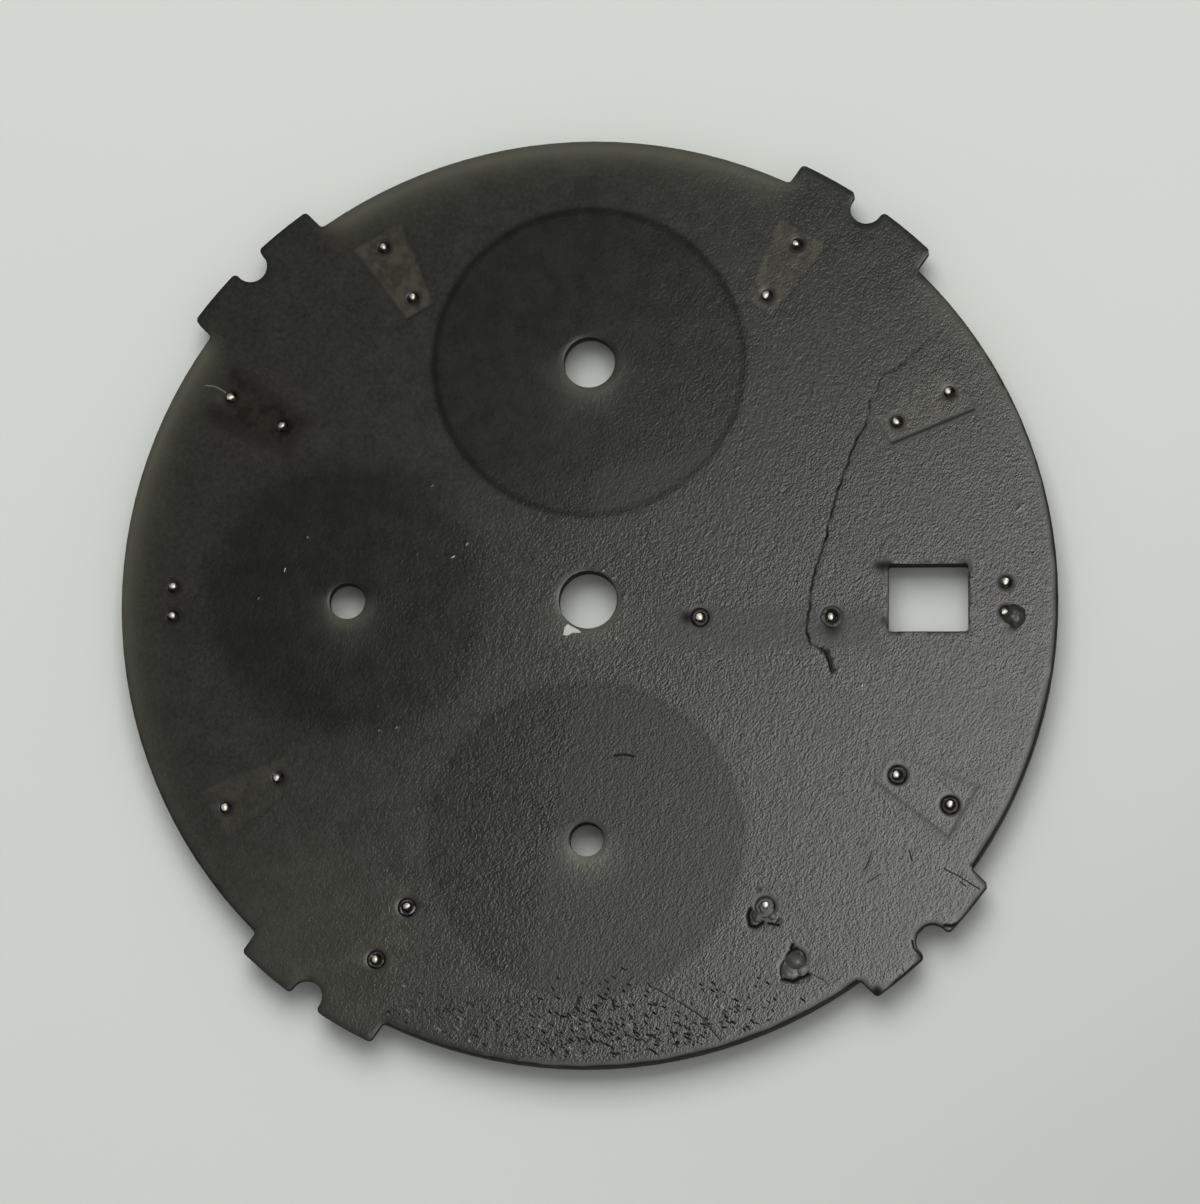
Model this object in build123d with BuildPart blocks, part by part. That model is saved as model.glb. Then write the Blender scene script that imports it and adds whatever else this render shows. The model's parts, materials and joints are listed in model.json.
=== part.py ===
from build123d import *
import os
from math import cos, hypot, radians, sin

os.makedirs("parts", exist_ok=True)

# The dial of a three-register chronograph, lying face down as it does on a bench.
# Up is the back of the plate. The surface that the applied markers lie on is at zero height,
# and the origin is on the axis of the centre hole. Three o'clock is on the +X side, and
# twelve o'clock on the -Y side, so the hours run the usual way round when seen from below.

# Dial plate
dial_diameter = 33.0
plate_thickness = 0.8
rim_chamfer = 0.05

# Locating tabs on the rim, in pairs with a round notch between the two of a pair
tab_reach = 0.8
tab_thickness = 0.5
tab_pair_width = 5.5
tab_pair_angles = (55, 135, 235, 315)
tab_root_radius = 0.15
tab_corner_radius = 0.18
notch_width = 1.15

# Holes for the hands
centre_hole_diameter = 2.06
six_hole_diameter = 1.82
nine_hole_diameter = 1.28
twelve_hole_diameter = 1.2
subdial_rim_distance = 8.0

# Date window
window_width = 2.8
window_height = 2.4
window_corner_radius = 0.12
window_rim_distance = 3.15

# Sub-dial discs, let into the face, each reaching to a gap from the long markers beside it
large_disc_marker_gap = 0.38
small_disc_marker_gap = 0.98
disc_thickness = 0.15
disc_rim_width = 0.25
disc_rim_height = 0.1
seat_clearance = 0.02

# Applied hour markers
marker_height = 0.5
marker_length = 3.15
marker_outer_width = 1.95
marker_inner_width = 1.1
marker_rim_distance = 1.35
short_marker_length = 1.0
marker_bevel = 0.1
long_marker_hours = ("01", "02", "04", "05", "07", "08", "10", "11")
short_marker_hours = ("03", "09")

# Light-storing inlays in the markers
inlay_wall = 0.22
inlay_depth = 0.22
inlay_setback = 0.03

# Feet of the applied pieces, and the pockets that they come up into
foot_diameter = 0.3
foot_hole_clearance = 0.02
foot_proud = 0.1
foot_tip_radius = 0.08
outer_foot_distance = 0.48
inner_foot_distance = 0.55
short_foot_pitch = 1.04
pocket_diameter = 0.66
pocket_depth = 0.14

# Cement around the feet
cement_height = 0.09
cement_clearance = 0.01
dab_diameter = 0.84
dab_height = 0.16
dab_edge_radius = 0.13
dab_drift = 0.28
dab_drift_angle = -30

# Blank name plaque, between the centre hole and the date window
plaque_centre_gap = 1.39
plaque_window_gap = 0.43
plaque_width = 1.3
plaque_height = 0.3
plaque_bevel = 0.08
plaque_shift = 1.05
plaque_foot_distance = 1.54
plaque_foot_shift = 0.39

# How far a cut runs past the face that it comes out of
cut_overrun = 0.2

dial_radius = dial_diameter / 2
tab_radius = dial_radius + tab_reach
subdial_pitch = dial_radius - subdial_rim_distance
window_distance = dial_radius - window_rim_distance - window_width / 2
marker_outer_radius = dial_radius - marker_rim_distance
marker_inner_radius = marker_outer_radius - marker_length
outer_foot_radius = marker_outer_radius - outer_foot_distance
inner_foot_radius = marker_inner_radius + inner_foot_distance
foot_radius = foot_diameter / 2
pocket_radius = pocket_diameter / 2
plaque_start = centre_hole_diameter / 2 + plaque_centre_gap
plaque_end = window_distance - window_width / 2 - plaque_window_gap

face_level = marker_height
back_level = face_level + plate_thickness
tab_level = back_level - tab_thickness
pocket_level = back_level - pocket_depth
foot_length = plate_thickness + foot_proud
cut_height = plate_thickness + 2 * cut_overrun


def level_plane(level, angle=0):
    """A horizontal plane at a level, with its x direction turned to an angle."""
    turned = (cos(radians(angle)), sin(radians(angle)), 0)
    return Plane(origin=(0, 0, level), x_dir=turned, z_dir=(0, 0, 1))


def hour_angle(hour):
    """The direction of an hour: three on the +X side and six on the +Y side."""
    return 30 * int(hour) - 90


def half_width_at(radius):
    """Half the width of an hour marker, which grows evenly towards the rim."""
    share = (radius - marker_inner_radius) / marker_length
    return (marker_inner_width + share * (marker_outer_width - marker_inner_width)) / 2


def marker_start(hour):
    """The distance from the centre at which a marker starts."""
    if hour in short_marker_hours:
        return marker_outer_radius - short_marker_length
    return marker_inner_radius


def marker_feet(hour):
    """The feet of a marker, in the plane turned to its hour."""
    if hour in short_marker_hours:
        return [(outer_foot_radius, short_foot_pitch / 2), (outer_foot_radius, -short_foot_pitch / 2)]
    return [(outer_foot_radius, 0), (inner_foot_radius, 0)]


def trapezoid(inner_radius, margin):
    """The corners of a marker that starts at a radius, drawn a margin inside its edge."""
    start = inner_radius + margin
    end = marker_outer_radius - margin
    start_half = half_width_at(start) - margin
    end_half = half_width_at(end) - margin
    return [(start, start_half), (start, -start_half), (end, -end_half), (end, end_half)]


# The hours that carry a marker, and the feet of the plaque
marker_hours = sorted(long_marker_hours + short_marker_hours)
plaque_foot_y = plaque_foot_shift - plaque_shift
plaque_feet = [
    (plaque_start + plaque_foot_distance, plaque_foot_y),
    (plaque_end - plaque_foot_distance, plaque_foot_y),
]

# From the middle of a sub-dial to the nearest corner of the long markers on its two sides
neighbour_angle = radians(hour_angle("05"))
neighbour_half = marker_inner_width / 2
neighbour_x = marker_inner_radius * cos(neighbour_angle) - neighbour_half * sin(neighbour_angle)
neighbour_y = marker_inner_radius * sin(neighbour_angle) + neighbour_half * cos(neighbour_angle)
marker_reach = hypot(neighbour_x, neighbour_y - subdial_pitch)
large_disc_diameter = 2 * (marker_reach - large_disc_marker_gap)
small_disc_diameter = 2 * (marker_reach - small_disc_marker_gap)

# Each sub-dial: its place, the size of its hole and disc, and whether the disc has a rim
subdials = {
    "six": ((0, subdial_pitch), six_hole_diameter, large_disc_diameter, True),
    "nine": ((-subdial_pitch, 0), nine_hole_diameter, small_disc_diameter, False),
    "twelve": ((0, -subdial_pitch), twelve_hole_diameter, large_disc_diameter, True),
}

# Dial plate: a moulded disc with thinner tabs, level with its back
with BuildPart() as dial_plate:
    with BuildSketch(level_plane(face_level)):
        Circle(dial_radius)
    extrude(amount=plate_thickness)

    # The tabs, with their rounded roots, notches and corners
    with BuildSketch(level_plane(tab_level)) as tab_outline:
        for angle in tab_pair_angles:
            with Locations(Location((0, 0, 0), (0, 0, angle))):
                with Locations((dial_radius, 0)):
                    Rectangle(2 * tab_pair_width, tab_pair_width)
        Circle(tab_radius, mode=Mode.INTERSECT)
        Circle(dial_radius)
        roots = tab_outline.vertices().group_by(lambda corner: corner.center().length)[0]
        fillet(roots, tab_root_radius)
        for angle in tab_pair_angles:
            with Locations(Location((0, 0, 0), (0, 0, angle))):
                with Locations((dial_radius + notch_width / 2, 0)):
                    Circle(notch_width / 2, mode=Mode.SUBTRACT)
                with Locations((dial_radius + notch_width, 0)):
                    Rectangle(notch_width, notch_width, mode=Mode.SUBTRACT)
        corners = tab_outline.vertices().group_by(lambda corner: corner.center().length)[-1]
        fillet(corners, tab_corner_radius)
    extrude(amount=tab_thickness)

    # The rim of the back is bevelled from one pair of tabs to the next
    tab_half_angle = Vector(dial_radius, tab_pair_width / 2 + tab_root_radius).get_angle(Vector(1, 0))
    next_pair_angles = tab_pair_angles[1:] + (tab_pair_angles[0] + 360,)
    for angle, next_angle in zip(tab_pair_angles, next_pair_angles):
        start_angle = angle + tab_half_angle
        arc = next_angle - tab_half_angle - start_angle
        rim_plane = Plane.XZ.rotated((0, 0, start_angle))
        with BuildSketch(rim_plane):
            with BuildLine():
                Polyline(
                    (dial_radius - rim_chamfer, back_level),
                    (dial_radius, back_level - rim_chamfer),
                    (dial_radius + cut_overrun, back_level - rim_chamfer),
                    (dial_radius + cut_overrun, back_level + cut_overrun),
                    (dial_radius - rim_chamfer, back_level + cut_overrun),
                    close=True,
                )
            make_face()
        revolve(axis=Axis.Z, revolution_arc=arc, mode=Mode.SUBTRACT)

    # Holes for the hands, and the date window
    with BuildSketch(level_plane(face_level - cut_overrun)):
        Circle(centre_hole_diameter / 2)
        for place, hole_diameter, disc_diameter, rimmed in subdials.values():
            with Locations(place):
                Circle(hole_diameter / 2)
        with Locations((window_distance, 0)):
            RectangleRounded(window_width, window_height, window_corner_radius)
    extrude(amount=cut_height, mode=Mode.SUBTRACT)

    # Seats of the sub-dial discs, in the face
    with BuildSketch(level_plane(face_level)):
        for place, hole_diameter, disc_diameter, rimmed in subdials.values():
            with Locations(place):
                Circle(disc_diameter / 2 + seat_clearance)
    extrude(amount=disc_thickness, mode=Mode.SUBTRACT)

    # Holes for the feet, each with a pocket for cement at the back
    for hour in marker_hours:
        with BuildSketch(level_plane(face_level - cut_overrun, hour_angle(hour))):
            with Locations(*marker_feet(hour)):
                Circle(foot_radius + foot_hole_clearance)
        extrude(amount=cut_height, mode=Mode.SUBTRACT)
        with BuildSketch(level_plane(pocket_level, hour_angle(hour))):
            with Locations(*marker_feet(hour)):
                Circle(pocket_radius)
        extrude(amount=pocket_depth + cut_overrun, mode=Mode.SUBTRACT)
    with BuildSketch(level_plane(face_level - cut_overrun)):
        with Locations(*plaque_feet):
            Circle(foot_radius + foot_hole_clearance)
    extrude(amount=cut_height, mode=Mode.SUBTRACT)
    with BuildSketch(level_plane(pocket_level)):
        with Locations(*plaque_feet):
            Circle(pocket_radius)
    extrude(amount=pocket_depth + cut_overrun, mode=Mode.SUBTRACT)
dial_plate.part.label = "dial_plate"
export_step(dial_plate.part, "parts/dial_plate.step")

# Sub-dial discs: thin discs let into the face, the two large ones with a raised rim
for register, (place, hole_diameter, disc_diameter, rimmed) in subdials.items():
    with BuildPart() as subdial_disc:
        with BuildSketch(level_plane(face_level)):
            with Locations(place):
                Circle(disc_diameter / 2)
                Circle(hole_diameter / 2, mode=Mode.SUBTRACT)
        extrude(amount=disc_thickness)
        if rimmed:
            with BuildSketch(level_plane(face_level - disc_rim_height)):
                with Locations(place):
                    Circle(disc_diameter / 2)
                    Circle(disc_diameter / 2 - disc_rim_width, mode=Mode.SUBTRACT)
            extrude(amount=disc_rim_height)
    subdial_disc.part.label = f"subdial_disc_{register}"
    export_step(subdial_disc.part, f"parts/subdial_disc_{register}.step")

# Hour markers: a tapered body with a pocket in its face and two round feet
for hour in marker_hours:
    angle = hour_angle(hour)
    inner_end = marker_start(hour)
    with BuildPart() as hour_marker:
        with BuildSketch(level_plane(0, angle)):
            Polygon(*trapezoid(inner_end, 0), align=None)
        extrude(amount=marker_height)
        chamfer(hour_marker.edges().group_by(Axis.Z)[0], marker_bevel)
        with BuildSketch(level_plane(0, angle)):
            Polygon(*trapezoid(inner_end, inlay_wall), align=None)
        extrude(amount=inlay_depth, mode=Mode.SUBTRACT)
        with BuildSketch(level_plane(face_level, angle)):
            with Locations(*marker_feet(hour)):
                Circle(foot_radius)
        extrude(amount=foot_length)
        fillet(hour_marker.edges().group_by(Axis.Z)[-1], foot_tip_radius)
    hour_marker.part.label = f"hour_marker_{hour}"
    export_step(hour_marker.part, f"parts/hour_marker_{hour}.step")

    # Its inlay, seated on the floor of the pocket
    with BuildPart() as marker_inlay:
        with BuildSketch(level_plane(inlay_setback, angle)):
            Polygon(*trapezoid(inner_end, inlay_wall + seat_clearance), align=None)
        extrude(amount=inlay_depth - inlay_setback)
    marker_inlay.part.label = f"marker_inlay_{hour}"
    export_step(marker_inlay.part, f"parts/marker_inlay_{hour}.step")

# Name plaque: a blank bar with two round feet
with BuildPart() as name_plaque:
    with BuildSketch(level_plane(face_level - plaque_height)):
        with Locations(((plaque_start + plaque_end) / 2, -plaque_shift)):
            Rectangle(plaque_end - plaque_start, plaque_width)
    extrude(amount=plaque_height)
    chamfer(name_plaque.edges().group_by(Axis.Z)[0], plaque_bevel)
    with BuildSketch(level_plane(face_level)):
        with Locations(*plaque_feet):
            Circle(foot_radius)
    extrude(amount=foot_length)
    fillet(name_plaque.edges().group_by(Axis.Z)[-1], foot_tip_radius)
name_plaque.part.label = "name_plaque"
export_step(name_plaque.part, "parts/name_plaque.step")

# Cement: a bead round each foot, on the floor of its pocket
bead_radius = pocket_radius - cement_clearance
bead_bore_radius = foot_radius + cement_clearance
with BuildPart() as foot_cement:
    for hour in marker_hours:
        with BuildSketch(level_plane(pocket_level, hour_angle(hour))):
            with Locations(*marker_feet(hour)):
                Circle(bead_radius)
                Circle(bead_bore_radius, mode=Mode.SUBTRACT)
        extrude(amount=cement_height)
    with BuildSketch(level_plane(pocket_level)):
        with Locations(*plaque_feet):
            Circle(bead_radius)
            Circle(bead_bore_radius, mode=Mode.SUBTRACT)
    extrude(amount=cement_height)
foot_cement.part.label = "foot_cement"
export_step(foot_cement.part, "parts/foot_cement.step")

# Cement dab: a drop that ran to one side of a foot of the three o'clock marker as it set
with BuildPart() as cement_dab:
    dab_foot = (outer_foot_radius, -short_foot_pitch / 2)
    dab_x = dab_foot[0] + dab_drift * cos(radians(dab_drift_angle))
    dab_y = dab_foot[1] + dab_drift * sin(radians(dab_drift_angle))
    with BuildSketch(level_plane(back_level)):
        with Locations((dab_x, dab_y)):
            Circle(dab_diameter / 2)
    extrude(amount=dab_height)
    fillet(cement_dab.edges().group_by(Axis.Z)[-1], dab_edge_radius)
    with BuildSketch(level_plane(back_level)):
        with Locations(dab_foot):
            Circle(foot_radius + cement_clearance)
    extrude(amount=dab_height, mode=Mode.SUBTRACT)
cement_dab.part.label = "cement_dab"
export_step(cement_dab.part, "parts/cement_dab.step")
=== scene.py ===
import json
from math import cos, pi, radians, sin

import bmesh
import bpy
import numpy as np
from mathutils import Matrix, Quaternion, Vector, kdtree, noise
from mathutils.geometry import delaunay_2d_cdt


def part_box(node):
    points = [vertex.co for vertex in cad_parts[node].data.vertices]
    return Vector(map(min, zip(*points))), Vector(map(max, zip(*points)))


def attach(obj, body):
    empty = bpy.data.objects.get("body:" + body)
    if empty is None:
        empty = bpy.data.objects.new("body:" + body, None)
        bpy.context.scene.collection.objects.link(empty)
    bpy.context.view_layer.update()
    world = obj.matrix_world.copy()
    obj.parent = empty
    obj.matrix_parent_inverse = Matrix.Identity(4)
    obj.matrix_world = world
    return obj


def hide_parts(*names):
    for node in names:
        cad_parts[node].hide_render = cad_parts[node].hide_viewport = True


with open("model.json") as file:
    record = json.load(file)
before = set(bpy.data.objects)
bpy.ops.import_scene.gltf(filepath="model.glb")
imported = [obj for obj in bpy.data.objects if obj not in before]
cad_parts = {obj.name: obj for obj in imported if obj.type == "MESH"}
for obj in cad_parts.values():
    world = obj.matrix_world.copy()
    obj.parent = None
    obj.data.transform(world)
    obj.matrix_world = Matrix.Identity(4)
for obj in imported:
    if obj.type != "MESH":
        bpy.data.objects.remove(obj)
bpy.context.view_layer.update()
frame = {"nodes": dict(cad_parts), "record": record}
mm = 0.001

# Camera
# It looks down on the back of the dial, tilted ten degrees towards the twelve o'clock side,
# with a long lens, and is turned so that the three o'clock side is at the right of the picture.
camera_azimuth = radians(22.848)
camera_elevation = radians(79.773)
camera_roll = radians(-22.856)
camera_distance = 252.9 * mm
camera_aim_height = 1.4 * mm
camera_aside = 0.437 * mm
camera_down = 0.105 * mm
image_height = 1204
focal_pixels = 7200
sensor_width = 36

towards_camera = Vector((
    sin(camera_azimuth) * cos(camera_elevation),
    -cos(camera_azimuth) * cos(camera_elevation),
    sin(camera_elevation),
))
level_right = Vector((0, 0, 1)).cross(towards_camera).normalized()
level_up = towards_camera.cross(level_right)
picture_right = level_right * cos(camera_roll) + level_up * sin(camera_roll)
picture_up = level_up * cos(camera_roll) - level_right * sin(camera_roll)
camera_aim = Vector((0, 0, camera_aim_height)) + picture_right * camera_aside - picture_up * camera_down

camera = bpy.data.objects.new("camera", bpy.data.cameras.new("camera"))
camera.data.sensor_width = sensor_width
camera.data.lens = sensor_width * focal_pixels / image_height
camera.data.clip_start = 1 * mm
turn = Matrix((picture_right, picture_up, towards_camera)).transposed().to_4x4()
camera.matrix_world = Matrix.Translation(camera_aim + towards_camera * camera_distance) @ turn
bpy.context.collection.objects.link(camera)
bpy.context.scene.camera = camera
bpy.context.scene.view_settings.view_transform = "Standard"

# Paper and light
# The dial lies on a sheet of pale matt paper, whose colour is painted darker towards the three and twelve
# o'clock side as painted shade. A window-like light stands behind the six o'clock side, and a small panel
# that only gloss shows hangs overhead and gives the sheen at the right.
paper_half_width = 2.0
paper_colour = (0.67, 0.68, 0.665, 1)
paper_mottle_colour = (0.64, 0.65, 0.635, 1)
paper_mottle_size = 60
paper_painted_shade_colour = (0.515, 0.52, 0.51, 1)
paper_shade_side = (0.7, -0.7, 0)
paper_shade_start = 5
paper_shade_end = 45
paper_roughness = 0.85
sky_colour = (0.62, 0.64, 0.61, 1)
room_colour = (0.34, 0.345, 0.335, 1)
window_light_place = (-0.02, 0.15, 0.26)
window_light_size = 0.24
window_light_power = 0.72
panel_place = (0.0462, -0.0128, 0.15)
panel_size = 0.095
panel_power = 0.565
panel_spin = radians(17)
light_colour = (0.99, 1.0, 0.955)


def add_node(tree, kind, inputs=None, **settings):
    """A new node with its options set, and its inputs, by name or number, set or linked."""
    made = tree.nodes.new(kind)
    for setting, value in settings.items():
        setattr(made, setting, value)
    for socket, value in (inputs or {}).items():
        if isinstance(value, bpy.types.NodeSocket):
            tree.links.new(value, made.inputs[socket])
        else:
            made.inputs[socket].default_value = value
    return made


def calculate(tree, operation, *values):
    """The output of a math node."""
    return add_node(tree, "ShaderNodeMath", dict(enumerate(values)), operation=operation).outputs[0]


def calculate_vector(tree, operation, first, second):
    """The output of a vector math node: a vector, or a value where the operation gives one."""
    inputs = {0: first, "Scale" if operation == "SCALE" else 1: second}
    made = add_node(tree, "ShaderNodeVectorMath", inputs, operation=operation)
    return made.outputs["Value" if operation in ("DOT_PRODUCT", "DISTANCE") else "Vector"]


def combine(tree, **parts):
    """The output of a node that makes a vector of its parts."""
    return add_node(tree, "ShaderNodeCombineXYZ", parts).outputs[0]


def blend_colours(tree, share, first, second):
    """The output of a colour mix."""
    inputs = {0: share, 6: first, 7: second}
    return add_node(tree, "ShaderNodeMix", inputs, data_type="RGBA").outputs[2]


def spread(tree, value, low, high, new_low=0.0, new_high=1.0):
    """A value brought smoothly from one range to another."""
    ranges = {0: value, 1: low, 2: high, 3: new_low, 4: new_high}
    return add_node(tree, "ShaderNodeMapRange", ranges, interpolation_type="SMOOTHSTEP").outputs[0]


def start_material(name, **shader_inputs):
    """A material with a Principled shader, and the object's own position in millimetres."""
    material = bpy.data.materials.new(name)
    material.use_nodes = True
    tree = material.node_tree
    tree.nodes.clear()
    named = {key.replace("_", " "): value for key, value in shader_inputs.items()}
    shader = add_node(tree, "ShaderNodeBsdfPrincipled", named)
    add_node(tree, "ShaderNodeOutputMaterial", {"Surface": shader.outputs[0]})
    coordinates = add_node(tree, "ShaderNodeTexCoord").outputs["Object"]
    return material, tree, shader, calculate_vector(tree, "SCALE", coordinates, 1 / mm)


def fractal(tree, position, scale, detail=3.0, roughness=0.55):
    """A noise texture's value."""
    inputs = {"Vector": position, "Scale": scale, "Detail": detail, "Roughness": roughness}
    return add_node(tree, "ShaderNodeTexNoise", inputs).outputs["Fac"]


paper_material, tree, shader, position = start_material("paper", Roughness=paper_roughness)
mottle = fractal(tree, position, 1 / paper_mottle_size)
# Painted shade: the paper's colour darkens towards the three and twelve o'clock side, away from the window
# light
aside = calculate_vector(tree, "DOT_PRODUCT", position, paper_shade_side)
paper_shade_share = spread(tree, aside, paper_shade_start, paper_shade_end)
colour = blend_colours(tree, mottle, paper_colour, paper_mottle_colour)
tree.links.new(blend_colours(tree, paper_shade_share, colour, paper_painted_shade_colour), shader.inputs["Base Color"])
paper_mesh = bpy.data.meshes.new("paper")
near, far = -paper_half_width, paper_half_width
paper_mesh.from_pydata([(near, near, 0), (far, near, 0), (far, far, 0), (near, far, 0)], [], [(0, 1, 2, 3)])
paper_mesh.materials.append(paper_material)
paper = bpy.data.objects.new("paper", paper_mesh)
bpy.context.collection.objects.link(paper)

world = bpy.data.worlds.new("room")
world.use_nodes = True
world.node_tree.nodes.clear()
path = add_node(world.node_tree, "ShaderNodeLightPath").outputs
seen = calculate(world.node_tree, "MAXIMUM", path["Is Camera Ray"], path["Is Glossy Ray"])
seen = calculate(world.node_tree, "MAXIMUM", seen, path["Is Transmission Ray"])
room = blend_colours(world.node_tree, seen, room_colour, sky_colour)
background = add_node(world.node_tree, "ShaderNodeBackground", {"Color": room})
add_node(world.node_tree, "ShaderNodeOutputWorld", {"Surface": background.outputs[0]})
bpy.context.scene.world = world


def hang_light(name, place, size, power, spin=0):
    """A square area light that faces the dial."""
    light = bpy.data.objects.new(name, bpy.data.lights.new(name, "AREA"))
    light.data.size = size
    light.data.energy = power
    light.data.color = light_colour
    light.location = place
    facing = (-Vector(place)).to_track_quat("-Z", "Y") @ Quaternion((0, 0, 1), spin)
    light.rotation_euler = facing.to_euler()
    bpy.context.collection.objects.link(light)
    return light


window = hang_light("window_light", window_light_place, window_light_size, window_light_power)
window.visible_glossy = False
window.visible_camera = False
panel = hang_light("panel", panel_place, panel_size, panel_power, panel_spin)
panel.visible_diffuse = False
panel.visible_camera = False

# Dial plate
# The plate is moulded in smoke-grey, slightly see-through plastic with a leather-like grain on its
# back. It is worn: a long crack, scratches, pits along the twelve o'clock rim and rough pocket edges.
# Its walls and its face are the frame's own; the back is drawn again, fine enough for these marks.
merge_distance = 0.0005
flat_tolerance = 0.001
ring_tolerance = 0.02
tiny = 1e-9
net_tolerance = 1e-6
most_cuts = 11
edge_step = 0.14
edge_rows = (0.05, 0.11, 0.19)
edge_gap_share = 0.7
edge_drop = 0.010
edge_round = 0.16
edge_wear_shares = (0.8, 0.4)
edge_wear_rate = 1.7
grid_reach = 18
grid_step = 0.15
grid_row_share = 0.866
grid_gap_share = 0.55
grid_jitter_share = 0.25
dial_radius = round(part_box("dial_plate")[1].x / mm, 3)
rim_chamfer = 0.05
large_disc_radius = round(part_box("subdial_disc_six")[1].x / mm, 2)
small_disc_radius = round(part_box("subdial_disc_nine")[1].y / mm, 2)
disc_radii = {"six": large_disc_radius, "nine": small_disc_radius, "twelve": large_disc_radius}
marker_inner_radius = 12.0
marker_outer_radius = round(-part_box("hour_marker_09")[0].x / mm, 3)
marker_inner_half = 0.55
marker_outer_half = round(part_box("hour_marker_09")[1].y / mm, 3)
outer_foot_radius = 14.67
inner_foot_radius = 12.55
short_foot_offset = 0.52
plaque_foot_places = ((3.96, -0.66), (8.58, -0.66))
pocket_radius = 0.33
tight_pocket_radius = 0.205
crater_rows = (0.38, 0.43, 0.48, 0.55)
crater_gap = 0.03
crater_steps = 26

# The holes for the hands: the middle and the radius of each
holes = {}
for mount in frame["record"]["mounts"]:
    if mount["kind"] == "bore":
        x, y = (round(place / mm, 3) for place in mount["pos_m"][:2])
        holes[mount["name"].removesuffix("_bore")] = (x, y, mount["dims"]["r_mm"])
subdial_pitch = holes["six"][1]

# Hours with a long marker, and how plainly its body shows through the plate
long_markers = {1: 0.12, 2: 0.28, 4: 0.62, 5: 0.75, 7: 0.78, 8: -0.85, 10: 0.32, 11: 0.38}
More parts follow.
